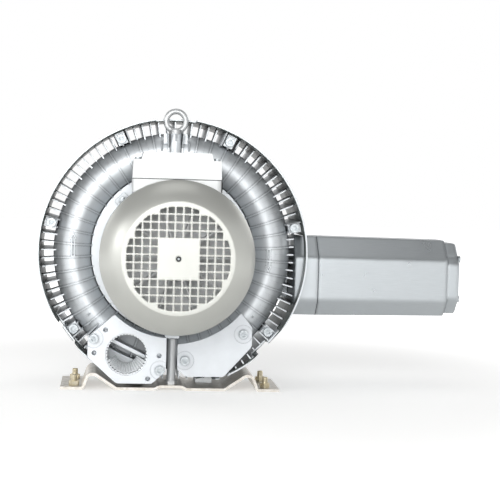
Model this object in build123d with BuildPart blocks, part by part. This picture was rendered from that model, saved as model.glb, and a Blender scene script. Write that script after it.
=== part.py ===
from build123d import *
import os
from math import atan2, cos, degrees, hypot, radians, sin, sqrt, tan

# Two-stage side channel blower with its motor, foot bracket and outlet silencer.
# X points right, Y runs back along the motor axis from the fan cowl, Z points up.
# The origin lies on the floor, midway between the two mounting holes of the bracket.

os.makedirs("parts", exist_ok=True)

# ---------------------------------------------------------------- driving dimensions, mm
AXIS_HEIGHT = 194.0

# general clearances and fasteners
SCREW_PLAY = 0.15
STUD_PLAY = 0.05
KEY_PLAY = 0.1
RUNNING_GAP = 0.3
GASKET_T = 1.0
SCREW_HEAD_SHARE = 1.62
SCREW_SOCKET_SHARE = 0.87
JOIN = 1.0

# casings
CHANNEL_R = 142.5
TUBE_R = 27.5
CASTING_WALL = 5.0
SHROUD_FRONT_Y = -48.0
SHROUD_R = 191.0
SHROUD_WALL = 3.0
FRONT_WIDTH = 22.0
MIDDLE_WIDTH = 28.0
COVER_WIDTH = 56.0
HUB_FACE_Y = -12.0
HUB_WALL = 12.0
RIB_HEIGHT = 2.6
RIB_COUNT = 48
REAR_FIN_COUNT = 48
FIN_T = 2.0
FIN_SLOPE = 22.0
FIN_ROOT = 1.0
BOTTOM_CUT = 178.0
FLAT_CUT = 4.0
LEFT_FLAT_ANGLE = 218.0
RIGHT_FLAT_ANGLE = 317.0
EYE_POCKET_WIDTH = 58.0
MIDDLE_HUB_R = 40.0
MIDDLE_WEB_T = 8.0
TRANSFER_ANGLE = 300.0
TRANSFER_R = 14.0
NUT_CAP_R = 28.0
NUT_CAP_DEPTH = 18.0

# casing screws and seals
CASING_SCREW_R = 4.0
CASING_SCREW_PITCH_R = 177.0
CASING_SCREW_COUNT = 7
CASING_SCREW_GRIP = 14.0
CASING_BOSS = 14.0
CASING_BOSS_FRONT_Y = -30.0
CASING_BOSS_DEPTH = 26.0
BOSS_BITE = 0.3
SEAL_IN_R = 166.0
SEAL_OUT_R = 168.6
SEAL_DEPTH = 1.5

# inlet flange with the screwed port, and the blank flange beside it
PORT_X = -63.0
PORT_H = -142.0
PORT_R = 29.8
PORT_FLOOR_Y = -4.0
INLET_FACE_Y = -65.0
FLANGE_T = 16.0
FLANGE_CORNER = 8.0
BOSS_INSET = 2.0
BOSS_BACK_Y = 10.0
COWL_CLEAR_R = 118.5
BLANK_FACE_Y = -38.0
BLANK_T = 8.0
BLANK_CLEAR_R = 130.0
PAD_R = 13.5
PAD_DEPTH = 1.0
FLANGE_SCREW_R = 4.0
FLANGE_SCREW_GRIP = 14.0
FLANGE_SCREW_PITCH_R = 51.3
FLANGE_SCREW_ANGLES = (155.0, -25.0)
FLANGE_TAP_R = 3.4
FLANGE_TAP_DEPTH = 13.0
FLANGE_TAP_PITCH_R = 45.4
FLANGE_TAP_ANGLES = (131.7, 178.3, -1.7, -48.3)
LINER_RECESS = 3.0
LINER_WALL = 2.6
LINER_LENGTH = 26.0
FLUTE_COUNT = 40
FLUTE_DEPTH = 1.4
DIVIDER_T = 5.0
DIVIDER_ANGLE = -26.0
DIVIDER_H = 6.0
# outline of the inlet flange, from the middle of its port; the side towards the motor is an arc
INLET_OUTLINE = ((-54.6, 23.2), (-19.3, 54.3), (0.0, 60.0), (55.2, 34.0), (55.2, -23.8),
                 (35.3, -41.0), (-14.0, -41.0), (-54.6, -4.6))
# outline of the blank flange, from the motor axis, and its screws
BLANK_OUTLINE = ((9.4, -110.0), (96.0, -80.0), (115.5, -104.0), (115.5, -132.0),
                 (76.0, -176.0), (21.5, -176.0), (9.4, -166.0))
BLANK_SCREWS = [(20.0, -153.0), (103.0, -114.0)]

# lifting eye
EYE_Y = -24.0
EYE_OUT_R = 18.0
EYE_IN_R = 10.0
EYE_T = 8.0
EYE_COLLAR_R = 10.0
EYE_COLLAR_T = 6.0
EYE_COLLAR_TAPER = 12.0
EYE_THREAD_R = 4.0
EYE_THREAD_LENGTH = 13.0
EYE_BOSS_R = 9.5
EYE_BOSS_DEPTH = 29.0
EYE_BOSS_WIDTH = 34.0

# foot bracket, pillar and floor hardware
SHEET_T = 4.0
BRACKET_DEPTH = 110.0
TAB_END_X = 155.0
TAB_X = 122.0
HUMP_OUT_X = 115.0
HUMP_IN_X = 107.0
HUMP_Z = 20.0
FLAT_OUT_X = 77.0
FLAT_IN_X = 22.0
MIDDLE_X = 15.0
MIDDLE_Z = 3.5
SHEET_BEND_R = 6.0
MOUNT_HOLE_X = 136.0
MOUNT_HOLE_R = 5.5
STUD_X = 136.0
STUD_YS = (-36.0, 30.0)
STUD_R = 4.0
STUD_HEIGHT = 19.0
STUD_CHAMFER = 0.8
NUT_FLATS = 13.0
NUT_T = 6.5
FOOT_X = 50.0
FOOT_WIDTH = 24.0
FOOT_DEPTH = 20.0
FOOT_TOP_H = -158.0
FOOT_SCREW_R = 4.0
FOOT_SCREW_LENGTH = 18.0
FOOT_SINK_GAP = 0.01
FOOT_KEY_R = 2.8
FOOT_KEY_DEPTH = 2.4
SINK_ANGLE = 45.0
PILLAR_R = 6.25
PILLAR_X = 1.0
PILLAR_Y = -37.0
PILLAR_TOP_H = -121.0
PILLAR_CHAMFER = 1.0
PILLAR_COLLAR_R = 9.25
PILLAR_COLLAR_T = 5.0
PILLAR_LUG_T = 9.0
PILLAR_LUG_WIDTH = 20.0
PILLAR_SCREW_R = 4.0
PILLAR_SCREW_HEAD_T = 3.0
PILLAR_SCREW_GRIP = 14.0
PILLAR_TAP_DEPTH = 16.0

# motor
FRAME_LENGTH = 100.0
FRAME_BORE_R = 80.0
FRAME_WALL = 6.0
FRAME_FIN_R = 97.0
FRAME_FIN_T = 2.6
FRAME_FIN_COUNT = 32
FRAME_FIN_GAP = 12.0
FRAME_PAD_WIDTH = 84.0
FRAME_PAD_H = 16.0
FRAME_LUG_R = 110.0
FRAME_LUG_WIDTH = 18.0
FRAME_LUG_T = 12.0
FRAME_SCREW_PITCH_R = 101.0
MOTOR_SCREW_GRIP = 9.0
SHIELD_T = 8.0
SHIELD_BOSS_R = 38.0
SHIELD_LUG = 16.0
SHIELD_LUG_R = 101.4
SHIELD_SCREW_R = 2.0
SHIELD_SCREW_GRIP = 10.0
SHIELD_SCREW_PITCH_R = 83.0
CORE_INSET = 17.0
CORE_LENGTH = 60.0
ROTOR_R = 46.7
AIR_GAP = 0.6
SLOT_DEPTH = 14.7
SLOT_COUNT = 24
SLOT_WIDTH = 5.0
WINDING_OVERHANG = 13.0
WINDING_IN_R = 54.0
WINDING_OUT_R = 76.0

# bearings: (bore radius, outer radius, width, ball radius, ball count)
DE_BEARING = (15.0, 36.0, 19.0, 6.0, 8)
NDE_BEARING = (15.0, 31.0, 16.0, 4.6, 9)
NDE_BEARING_INSET = 4.0
BALL_PLAY = 0.3
SPRING_T = 1.6
SPRING_WIDTH = 4.5
SPRING_PLAY = 0.5
SEAL_R = 24.0
SEAL_INSET = 2.0
SEAL_T = 7.0

# shaft
SHAFT_FAN_R = 12.0
SHAFT_CORE_R = 18.0
SHAFT_DRIVE_R = 14.0
SHAFT_THREAD_R = 10.0
SHAFT_STEP = 1.0
THREAD_LENGTH = 12.0
KEY_WIDTH = 8.0
KEY_HEIGHT = 7.0
KEY_FRONT_Y = 3.0
KEY_END_GAP = 2.0

# impellers
IMPELLER_GAP = 1.0
IMPELLER_R = 163.4
IMPELLER_RIM_R = 120.0
IMPELLER_RIM_WALL = 6.0
IMPELLER_HUB_R = 30.0
IMPELLER_WEB_T = 6.0
BLADE_T = 2.4
BLADE_COUNT = 36
BLADE_RING_R = 150.0
BLADE_RING_T = 3.0
SPACER_R = 22.0
NUT_R = 17.0
NUT_END_GAP = 3.0

# cooling fan, cowl and grille
COWL_R = 104.0
COWL_WALL = 2.0
COWL_LENGTH = 80.0
COWL_LAP = 2.0
COWL_DISC_R = 75.0
COWL_CONE = 27.0
COWL_BULGE = 3.5
GRILLE_PITCH = 10.7
GRILLE_HOLE = 8.0
GRILLE_SIDE = 13
GRILLE_BLANK = 5
GRILLE_R = 69.0
CENTRE_SCREW_R = 3.6
COWL_SCREW_R = 2.5
COWL_SCREW_LENGTH = 12.6
COWL_SCREW_HEAD_T = 2.4
COWL_SCREW_LIFT = 0.2
FAN_R = 88.0
FAN_WIDTH = 27.0
FAN_GAP = 10.0
FAN_PLATE_T = 3.0
FAN_HUB_R = 20.0
FAN_HUB_WIDTH = 32.0
FAN_BLADE_COUNT = 10
FAN_BLADE_T = 2.6
CIRCLIP_T = 1.4
CIRCLIP_SINK = 1.0
CIRCLIP_RISE = 2.0

# terminal box
BOX_WIDTH = 122.0
BOX_DEPTH = 72.0
BOX_BASE_DEPTH = 19.0
LID_STEP = 26.0
LID_DEPTH = 36.0
LID_DRAFT = 1.0
LID_CROWN_SLOPE = 3.0
BOX_CROWN_WIDTH = 93.0
BOX_WALL = 3.0
BOX_CORNER = 9.0
BOX_POST = 7.0
BOX_SCREW_INSET = 7.0
BOX_SCREW_R = 2.5
BOX_SCREW_LENGTH = 26.0
BOX_SCREW_HEAD_T = 3.0
BOX_FRONT_INSET = 6.0
BOX_FRAME_GAP = 2.0
GASKET_INSET = 0.5
PLUG_R = 7.0
PLUG_FLANGE = 1.5
PLUG_T = 2.0
PLUG_PITCH = 30.0
BOARD_T = 6.0
BOARD_WIDTH = 66.0
BOARD_DEPTH = 34.0
TERMINAL_R = 2.5
TERMINAL_LENGTH = 16.0
TERMINAL_PITCH = 16.0
LINK_WIDTH = 9.0
LINK_T = 1.5

# outlet silencer
SILENCER_SETBACK = 22.5
SILENCER_H = -30.0
SILENCER_HALF = 57.5
SILENCER_TOP_BEVEL = 30.0
SILENCER_LOW_BEVEL = 23.0
SILENCER_CORNER = 9.0
SILENCER_WALL = 4.0
BEVEL_SHARE = 0.4
ADAPTER_X = 176.5
ADAPTER_LENGTH = 33.5
ADAPTER_PLATE_T = 8.0
ADAPTER_WALL = 6.0
BODY_LENGTH = 190.0
BODY_DRAFT = 0.6
CAP_LENGTH = 18.0
CAP_INSET = 4.0
CAP_PLATE_T = 9.0
CAP_ROUND = 3.0
OUTLET_R = 29.8
TUBE_IN_R = 32.0
TUBE_WALL = 1.5
LINING_GAP = 4.0
FOAM_GAP = 2.0
TIE_R = 3.0
TIE_WALL = 3.0
TIE_SEAT_DEPTH = 6.0
TIE_HEAD_T = 3.0
TIE_SPREAD_Y = 42.0
TIE_SPREAD_H = 29.0
OUTLET_WINDOW_Y = 18.0
OUTLET_WINDOW_H = 44.0
OUTLET_BOSS_MARGIN = 14.0
OUTLET_BOSS_WIDTH = 34.0
OUTLET_BOSS_GAP = 1.0
OUTLET_WINDOW_SETBACK = 20.0
OUTLET_SCREW_SETBACK = 6.5
OUTLET_SCREW_EDGE = 7.0
OUTLET_SCREW_GRIP = 10.0
OUTLET_SCREW_GAP = 0.5
OUTLET_SCREW_HEAD_T = 6.0
CASING_CUT_MARGIN = 1.5

# ---------------------------------------------------------------- places that follow from them
PARTING_1_Y = FRONT_WIDTH
PARTING_2_Y = PARTING_1_Y + MIDDLE_WIDTH
SHROUD_BACK_Y = PARTING_2_Y + COVER_WIDTH
COVER_TUBE_Y = PARTING_1_Y + PARTING_2_Y
MIDDLE_WEB_Y = PARTING_1_Y + (MIDDLE_WIDTH - MIDDLE_WEB_T) / 2
NUT_CAP_Y = COVER_TUBE_Y + NUT_CAP_DEPTH
CASING_BOSS_BACK_Y = PARTING_2_Y + CASING_BOSS_DEPTH
FLAT_DISTANCE = SHROUD_R - FLAT_CUT
FIN_OUT_R = SHROUD_R - SHROUD_WALL / 2
RIB_PITCH = 360 / RIB_COUNT
REAR_PITCH = 360 / REAR_FIN_COUNT
EYE_SEAT_H = CHANNEL_R + TUBE_R - JOIN
INLET_BOSS_Y = INLET_FACE_Y + FLANGE_T + GASKET_T
BLANK_BOSS_Y = BLANK_FACE_Y + BLANK_T + GASKET_T
LINER_Y = INLET_FACE_Y + LINER_RECESS
DIVIDER_Y = LINER_Y + LINER_LENGTH + JOIN
INLET_TAPS = [(PORT_X + FLANGE_TAP_PITCH_R * cos(radians(a)), PORT_H + FLANGE_TAP_PITCH_R * sin(radians(a)))
              for a in FLANGE_TAP_ANGLES]
INLET_SCREWS = [(PORT_X + FLANGE_SCREW_PITCH_R * cos(radians(a)),
                 PORT_H + FLANGE_SCREW_PITCH_R * sin(radians(a))) for a in FLANGE_SCREW_ANGLES]
FRONT_FOOT_Y = PARTING_1_Y - FOOT_DEPTH / 2
MIDDLE_FOOT_Y = PARTING_1_Y + MIDDLE_WIDTH / 2
FOOT_POINTS = [(x, y) for x in (-FOOT_X, FOOT_X) for y in (FRONT_FOOT_Y, MIDDLE_FOOT_Y)]
STUD_POINTS = [(x, y) for x in (-STUD_X, STUD_X) for y in STUD_YS]
FRAME_FRONT_Y = HUB_FACE_Y - FRAME_LENGTH
FRAME_R = FRAME_BORE_R + FRAME_WALL
FRAME_LUG_Y = HUB_FACE_Y - FRAME_LUG_T
FRAME_FIN_END_Y = HUB_FACE_Y - FRAME_FIN_GAP
CORE_FRONT_Y = FRAME_FRONT_Y + CORE_INSET
CORE_BACK_Y = CORE_FRONT_Y + CORE_LENGTH
STATOR_YOKE_R = ROTOR_R + AIR_GAP + SLOT_DEPTH
DE_BEARING_Y = HUB_FACE_Y - DE_BEARING[2]
DE_BEARING_BACK_Y = DE_BEARING_Y + DE_BEARING[2] + SHAFT_STEP
NDE_BEARING_Y = FRAME_FRONT_Y - NDE_BEARING_INSET
NDE_HOLE_R = SHAFT_FAN_R + 1
SEAL_Y = HUB_FACE_Y + SEAL_INSET
SHAFT_SHOULDER_Y = PARTING_2_Y + PARTING_1_Y - IMPELLER_GAP
COWL_BACK_Y = FRAME_FRONT_Y + COWL_LAP
GRILLE_Y = COWL_BACK_Y - COWL_LENGTH
COWL_SHOULDER_Y = GRILLE_Y + COWL_CONE
COWL_SCREW_Y = FRAME_FRONT_Y - COWL_SCREW_R - NDE_BEARING_INSET + 0.5
FAN_PLATE_Y = FRAME_FRONT_Y - SHIELD_T - FAN_GAP
FAN_FRONT_Y = FAN_PLATE_Y - FAN_WIDTH
SHAFT_FRONT_Y = FAN_FRONT_Y - CIRCLIP_T - SPRING_T
BOX_FRONT_Y = FRAME_FRONT_Y + BOX_FRONT_INSET
BOX_BACK_Y = BOX_FRONT_Y + BOX_DEPTH
BOX_MIDDLE_Y = (BOX_FRONT_Y + BOX_BACK_Y) / 2
BOX_BASE_H = FRAME_R
BOX_SEAM_H = BOX_BASE_H + BOX_BASE_DEPTH
BOX_STEP_H = BOX_SEAM_H + LID_STEP
BOX_TOP_H = BOX_SEAM_H + LID_DEPTH
BOX_CROWN_X = BOX_CROWN_WIDTH / 2
BODY_X = ADAPTER_X + ADAPTER_LENGTH
CAP_X = BODY_X + BODY_LENGTH
SILENCER_END_X = CAP_X + CAP_LENGTH
BODY_TAPER = BODY_LENGTH * tan(radians(BODY_DRAFT))
OUTLET_FACE_X = ADAPTER_X - GASKET_T
SILENCER_Y = PARTING_2_Y - SILENCER_SETBACK
OUTLET_BOSS_Y = PARTING_2_Y + OUTLET_BOSS_GAP + OUTLET_BOSS_WIDTH / 2
OUTLET_WINDOW_CENTRE_Y = PARTING_2_Y + OUTLET_WINDOW_SETBACK
OUTLET_SCREW_Y = PARTING_2_Y + OUTLET_SCREW_SETBACK
OUTLET_SCREWS = [(OUTLET_SCREW_Y, SILENCER_H + step * (OUTLET_WINDOW_H / 2 + OUTLET_SCREW_EDGE))
                 for step in (-1, 1)]
FRAME_SCREW_POINTS = [(FRAME_SCREW_PITCH_R * cos(radians(a)), FRAME_SCREW_PITCH_R * sin(radians(a)))
                      for a in (45, 135, 225, 315)]
SHIELD_SCREW_POINTS = [(SHIELD_SCREW_PITCH_R * cos(radians(a)), SHIELD_SCREW_PITCH_R * sin(radians(a)))
                       for a in (0, 90, 180, 270)]

# ---------------------------------------------------------------- frames and small helpers
FRONT = Plane(origin=(0, 0, AXIS_HEIGHT), x_dir=(1, 0, 0), z_dir=(0, -1, 0))
SECTION = Plane.XY.offset(AXIS_HEIGHT)
MOTOR_AXIS = Axis((0, 0, AXIS_HEIGHT), (0, 1, 0))
BACKWARD = (0, 1, 0)
RIGHTWARD = (1, 0, 0)


def keep(piece, label):
    """Name a finished piece and write its STEP file."""
    piece.part.label = label
    export_step(piece.part, f"parts/{label}.step")


def at(y):
    """The plane across the motor axis at a station: x is right, y is up from the axis."""
    return FRONT.offset(-y)


def side(x):
    """The plane across the X axis: x runs back from the motor's middle, y is up from the axis."""
    return Plane(origin=(x, 0, AXIS_HEIGHT), x_dir=BACKWARD, z_dir=RIGHTWARD)


def level(h):
    """The horizontal plane at a height above the motor axis."""
    return Plane.XY.offset(AXIS_HEIGHT + h)


def polar(radius, angle):
    """A point of the front view, from its radius and its angle from +X."""
    return radius * cos(radians(angle)), radius * sin(radians(angle))


def ring(in_r, out_r, y0, y1, mode=Mode.ADD):
    """A plain ring about the motor axis between two stations."""
    with BuildSketch(SECTION) as profile:
        with Locations(((in_r + out_r) / 2, (y0 + y1) / 2)):
            Rectangle(out_r - in_r, abs(y1 - y0))
    revolve(profile.sketch, axis=MOTOR_AXIS, mode=mode)


def rods(points, radius, y0, y1, mode=Mode.ADD):
    """Round rods or holes along the motor axis, at points of the front view."""
    with BuildSketch(at(y0)) as circles:
        with Locations(*points):
            Circle(radius)
    extrude(circles.sketch, amount=y1 - y0, dir=BACKWARD, mode=mode)


def blocks(points, width, height, y0, y1, mode=Mode.ADD):
    """Upright blocks or slots along the motor axis, at points of the front view."""
    with BuildSketch(at(y0)) as rectangles:
        with Locations(*points):
            Rectangle(width, height)
    extrude(rectangles.sketch, amount=y1 - y0, dir=BACKWARD, mode=mode)


def plates(count, in_r, out_r, thickness, y0, y1, first_angle=0.0, mode=Mode.ADD):
    """Radial plates about the motor axis."""
    with BuildSketch(at(y0)) as fan:
        with PolarLocations((in_r + out_r) / 2, count, start_angle=first_angle):
            Rectangle(out_r - in_r, thickness)
    extrude(fan.sketch, amount=y1 - y0, dir=BACKWARD, mode=mode)


def socket_screws(points, seat_y, shank_r, length):
    """Socket head screws that point back along the motor axis from the seat under their heads."""
    head_h = 2 * shank_r
    head_r = SCREW_HEAD_SHARE * shank_r
    with BuildPart() as screws:
        rods(points, shank_r, seat_y, seat_y + length)
        rods(points, head_r, seat_y - head_h, seat_y)
        with BuildSketch(at(seat_y - head_h)) as sockets:
            with Locations(*points):
                RegularPolygon(SCREW_SOCKET_SHARE * shank_r, 6)
        extrude(sockets.sketch, amount=shank_r, dir=BACKWARD, mode=Mode.SUBTRACT)
    return screws


# ---------------------------------------------------------------- casings
def channel_section(radius, centre_y, parting_y):
    """The channel's half-round section, straight from its middle to the parting plane."""
    outward = 1 if parting_y > centre_y else -1
    with BuildSketch(SECTION) as half:
        with Locations((CHANNEL_R, centre_y)):
            Circle(radius)
        with Locations((CHANNEL_R, (centre_y + parting_y) / 2)):
            Rectangle(2 * radius, abs(parting_y - centre_y))
        with Locations((CHANNEL_R, parting_y + outward * radius)):
            Rectangle(4 * radius, 2 * radius, mode=Mode.SUBTRACT)
    return half.sketch


def cooling_plates(count, centre_y, rim_y, parting_y, ribbed, first_angle):
    """Radial plates round the channel: cooling fins out to the shroud, with or without a rib."""
    outward = 1 if parting_y > centre_y else -1
    root_r = TUBE_R - FIN_ROOT
    with BuildPart() as plate:
        with BuildSketch(SECTION) as profile:
            with BuildLine():
                Polyline((CHANNEL_R, rim_y + outward * FIN_SLOPE), (FIN_OUT_R, rim_y),
                         (FIN_OUT_R, parting_y), (CHANNEL_R, parting_y), close=True)
            make_face()
            if ribbed:
                with Locations((CHANNEL_R, centre_y)):
                    Circle(TUBE_R + RIB_HEIGHT)
                with Locations((CHANNEL_R, parting_y + outward * TUBE_R)):
                    Rectangle(4 * TUBE_R, 2 * TUBE_R, mode=Mode.SUBTRACT)
                with Locations((CHANNEL_R - 2 * TUBE_R, centre_y + outward * 2 * TUBE_R)):
                    Rectangle(4 * TUBE_R, 4 * TUBE_R, mode=Mode.SUBTRACT)
            with Locations((CHANNEL_R, centre_y)):
                Circle(root_r, mode=Mode.SUBTRACT)
            with Locations((CHANNEL_R, (centre_y + parting_y) / 2)):
                Rectangle(2 * root_r, abs(parting_y - centre_y), mode=Mode.SUBTRACT)
        extrude(profile.sketch, amount=FIN_T / 2, both=True)
    step = 360 / count
    return [plate.part.rotate(MOTOR_AXIS, first_angle + step * number) for number in range(count)]


def lower_flats():
    """Cut the shroud and the fins flat where the blower stands in its bracket."""
    size = 2 * SHROUD_R
    depth = SHROUD_BACK_Y - SHROUD_FRONT_Y
    cuts = ((270.0, BOTTOM_CUT), (LEFT_FLAT_ANGLE, FLAT_DISTANCE), (RIGHT_FLAT_ANGLE, FLAT_DISTANCE))
    with BuildSketch(at(SHROUD_FRONT_Y)) as outside:
        for angle, distance in cuts:
            with Locations(Location((*polar(distance + SHROUD_R / 2, angle), 0), angle)):
                Rectangle(SHROUD_R, size)
    extrude(outside.sketch, amount=depth, dir=BACKWARD, mode=Mode.SUBTRACT)


def flat_walls(y0, y1):
    """The flat walls that close the shroud along its two lower flats."""
    half_chord = sqrt(SHROUD_R ** 2 - FLAT_DISTANCE ** 2)
    with BuildSketch(at(y0)) as walls:
        for angle in (LEFT_FLAT_ANGLE, RIGHT_FLAT_ANGLE):
            with Locations(Location((*polar(FLAT_DISTANCE - SHROUD_WALL / 2, angle), 0), angle)):
                Rectangle(SHROUD_WALL, 2 * half_chord)
    extrude(walls.sketch, amount=y1 - y0, dir=BACKWARD)


def pillar_slot():
    """Make room for the support pillar between the two flanges."""
    blocks([(PILLAR_X, -CHANNEL_R)], PILLAR_LUG_WIDTH, CHANNEL_R / 2, SHROUD_FRONT_Y - 1,
           PILLAR_Y + PILLAR_R + 2, mode=Mode.SUBTRACT)


def silencer_window():
    """Make room for the silencer's adapter beside the casings."""
    reach = SILENCER_HALF + CASING_CUT_MARGIN
    with BuildSketch(side(ADAPTER_X - CASING_CUT_MARGIN)) as window:
        with Locations((SILENCER_Y, SILENCER_H)):
            Rectangle(2 * reach, 2 * reach)
    extrude(window.sketch, amount=SHROUD_R, mode=Mode.SUBTRACT)


def casing_screw_points():
    """The places of the casing screws; the lowest one has no room above the bracket."""
    step = 360 / CASING_SCREW_COUNT
    return [polar(CASING_SCREW_PITCH_R, 270 + step * number) for number in range(1, CASING_SCREW_COUNT)]


def boss_squares(y):
    """The outlines of the casing screws' bosses, turned to face the axis."""
    in_r = CHANNEL_R + TUBE_R - FIN_ROOT
    out_r = SHROUD_R - SHROUD_WALL + BOSS_BITE
    with BuildSketch(at(y)) as squares:
        for x, h in casing_screw_points():
            angle = degrees(atan2(h, x))
            with Locations(Location((*polar((in_r + out_r) / 2, angle), 0), angle)):
                Rectangle(out_r - in_r, CASING_BOSS)
        for angle in (LEFT_FLAT_ANGLE, RIGHT_FLAT_ANGLE):
            with Locations(Location((*polar(FLAT_DISTANCE - BOSS_BITE + CASING_BOSS / 2, angle), 0), angle)):
                Rectangle(CASING_BOSS, 4 * CASING_BOSS, mode=Mode.SUBTRACT)
    return squares.sketch


def eye_pocket():
    """Open the shroud round the lifting eye."""
    blocks([(0, EYE_SEAT_H + EYE_OUT_R)], EYE_POCKET_WIDTH, 2 * EYE_OUT_R,
           SHROUD_FRONT_Y - 1, EYE_Y + EYE_OUT_R, mode=Mode.SUBTRACT)


def casing_feet(y):
    """Two cast feet that stand on the bracket."""
    foot_h = SHEET_T - AXIS_HEIGHT
    middle_h = (FOOT_TOP_H + foot_h) / 2
    points = [(-FOOT_X, middle_h), (FOOT_X, middle_h)]
    blocks(points, FOOT_WIDTH, FOOT_TOP_H - foot_h, y - FOOT_DEPTH / 2, y + FOOT_DEPTH / 2)


def foot_screw_holes(y, mode=Mode.SUBTRACT):
    """Tapped holes in the feet, from below."""
    with BuildSketch(Plane.XY.offset(SHEET_T)) as holes:
        with Locations((-FOOT_X, y), (FOOT_X, y)):
            Circle(FOOT_SCREW_R + SCREW_PLAY)
    extrude(holes.sketch, amount=FOOT_SCREW_LENGTH, mode=mode)



def inlet_shape(y, inset=0.0):
    """The inlet flange's outline at a station."""
    points = [(PORT_X + x, PORT_H + h) for x, h in INLET_OUTLINE]
    with BuildSketch(at(y)) as shape:
        with BuildLine():
            FilletPolyline(*points, radius=FLANGE_CORNER, close=True)
        make_face()
        if inset:
            offset(amount=-inset)
        Circle(COWL_CLEAR_R + inset, mode=Mode.SUBTRACT)
    return shape.sketch


def blank_shape(y, outset=0.0):
    """The blank flange's outline at a station."""
    with BuildSketch(at(y)) as shape:
        with BuildLine():
            FilletPolyline(*BLANK_OUTLINE, radius=FLANGE_CORNER, close=True)
        make_face()
        if outset:
            offset(amount=outset)
        Circle(BLANK_CLEAR_R - outset, mode=Mode.SUBTRACT)
    return shape.sketch



def outlet_block(from_x, mode):
    """The outlet's boss on the cover casing."""
    with BuildSketch(side(from_x)) as block:
        with Locations((OUTLET_BOSS_Y, SILENCER_H)):
            Rectangle(OUTLET_BOSS_WIDTH, OUTLET_WINDOW_H + 2 * OUTLET_BOSS_MARGIN)
    extrude(block.sketch, amount=OUTLET_FACE_X - from_x, mode=mode)


def outlet_window(x0, x1, mode):
    """The outlet's opening."""
    with BuildSketch(side(x0)) as window:
        with Locations((OUTLET_WINDOW_CENTRE_Y, SILENCER_H)):
            Rectangle(OUTLET_WINDOW_Y, OUTLET_WINDOW_H)
    extrude(window.sketch, amount=x1 - x0, mode=mode)


def outlet_screw_rods(radius, x0, x1, mode):
    """Rods or holes for the two screws beside the outlet window."""
    with BuildSketch(side(x0)) as circles:
        with Locations(*OUTLET_SCREWS):
            Circle(radius)
    extrude(circles.sketch, amount=x1 - x0, mode=mode)


def outlet_sheet():
    """The gasket between the outlet boss and the adapter."""
    with BuildSketch(side(OUTLET_FACE_X)) as sheet:
        with Locations((OUTLET_BOSS_Y, SILENCER_H)):
            Rectangle(OUTLET_BOSS_WIDTH, OUTLET_WINDOW_H + 2 * OUTLET_BOSS_MARGIN)
        with Locations((OUTLET_WINDOW_CENTRE_Y, SILENCER_H)):
            Rectangle(OUTLET_WINDOW_Y, OUTLET_WINDOW_H, mode=Mode.SUBTRACT)
        with Locations(*OUTLET_SCREWS):
            Circle(FLANGE_SCREW_R + SCREW_PLAY, mode=Mode.SUBTRACT)
    extrude(sheet.sketch, amount=GASKET_T)


def silencer_shape(x, inset=0.0, low_inset=0.0):
    """The silencer's bevelled outline at a station along X."""
    half_y = SILENCER_HALF - inset
    half_h = SILENCER_HALF - inset - low_inset
    top = SILENCER_TOP_BEVEL - BEVEL_SHARE * inset
    low = SILENCER_LOW_BEVEL - BEVEL_SHARE * inset
    points = [(-half_y, low - half_h), (-half_y, half_h - top), (top - half_y, half_h),
              (half_y - top, half_h), (half_y, half_h - top), (half_y, low - half_h),
              (half_y - low, -half_h), (low - half_y, -half_h)]
    with BuildSketch(side(x)) as shape:
        with BuildLine():
            FilletPolyline(*[(SILENCER_Y + y, SILENCER_H + h) for y, h in points],
                           radius=SILENCER_CORNER, close=True)
        make_face()
    return shape.sketch


def axial(radius, x0, x1, mode):
    """A rod or a hole on the silencer's own axis."""
    with BuildSketch(side(x0)) as circle:
        with Locations((SILENCER_Y, SILENCER_H)):
            Circle(radius)
    extrude(circle.sketch, amount=x1 - x0, mode=mode)


def tie_rods(radius, x0, x1, mode):
    """Rods or holes for the silencer's four tie screws."""
    with BuildSketch(side(x0)) as circles:
        with Locations((SILENCER_Y, SILENCER_H)):
            with GridLocations(2 * TIE_SPREAD_Y, 2 * TIE_SPREAD_H, 2, 2):
                Circle(radius)
    extrude(circles.sketch, amount=x1 - x0, mode=mode)


def radial_rods(radius, r0, r1, y, mode):
    """Four rods or holes that point at the motor axis."""
    for number in range(4):
        angle = 45 + 90 * number
        x, h = polar(r0, angle)
        plane = Plane(origin=(x, y, AXIS_HEIGHT + h), z_dir=(cos(radians(angle)), 0, sin(radians(angle))))
        with BuildSketch(plane) as circle:
            Circle(radius)
        extrude(circle.sketch, amount=r1 - r0, mode=mode)


def groove(pitch_r, radius, y):
    """Turn a ball track into a bearing ring."""
    with BuildSketch(SECTION) as track:
        with Locations((pitch_r, y)):
            Circle(radius)
    revolve(track.sketch, axis=MOTOR_AXIS, mode=Mode.SUBTRACT)


def grille_shape():
    """Square holes on a grid, clipped to a disc, with a blank square at the middle."""
    blank = (GRILLE_BLANK - 1) / 2 * GRILLE_PITCH + 1
    middle = (GRILLE_SIDE - 1) / 2
    places = []
    for column in range(GRILLE_SIDE):
        for row in range(GRILLE_SIDE):
            x = (column - middle) * GRILLE_PITCH
            h = (row - middle) * GRILLE_PITCH
            if max(abs(x), abs(h)) > blank and hypot(x, h) < GRILLE_R:
                places.append((x, h))
    with BuildSketch(at(GRILLE_Y)) as holes:
        with Locations(*places):
            Rectangle(GRILLE_HOLE, GRILLE_HOLE)
        Circle(GRILLE_R, mode=Mode.INTERSECT)
        Circle(CENTRE_SCREW_R)
    return holes.sketch


def box_slab(h0, h1, inset, mode):
    """A slab of the terminal box's plan between two heights."""
    with BuildSketch(level(h0)) as plan:
        with Locations((0, BOX_MIDDLE_Y)):
            RectangleRounded(BOX_WIDTH - 2 * inset, BOX_DEPTH - 2 * inset, BOX_CORNER - inset)
    extrude(plan.sketch, amount=h1 - h0, mode=mode)


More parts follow.
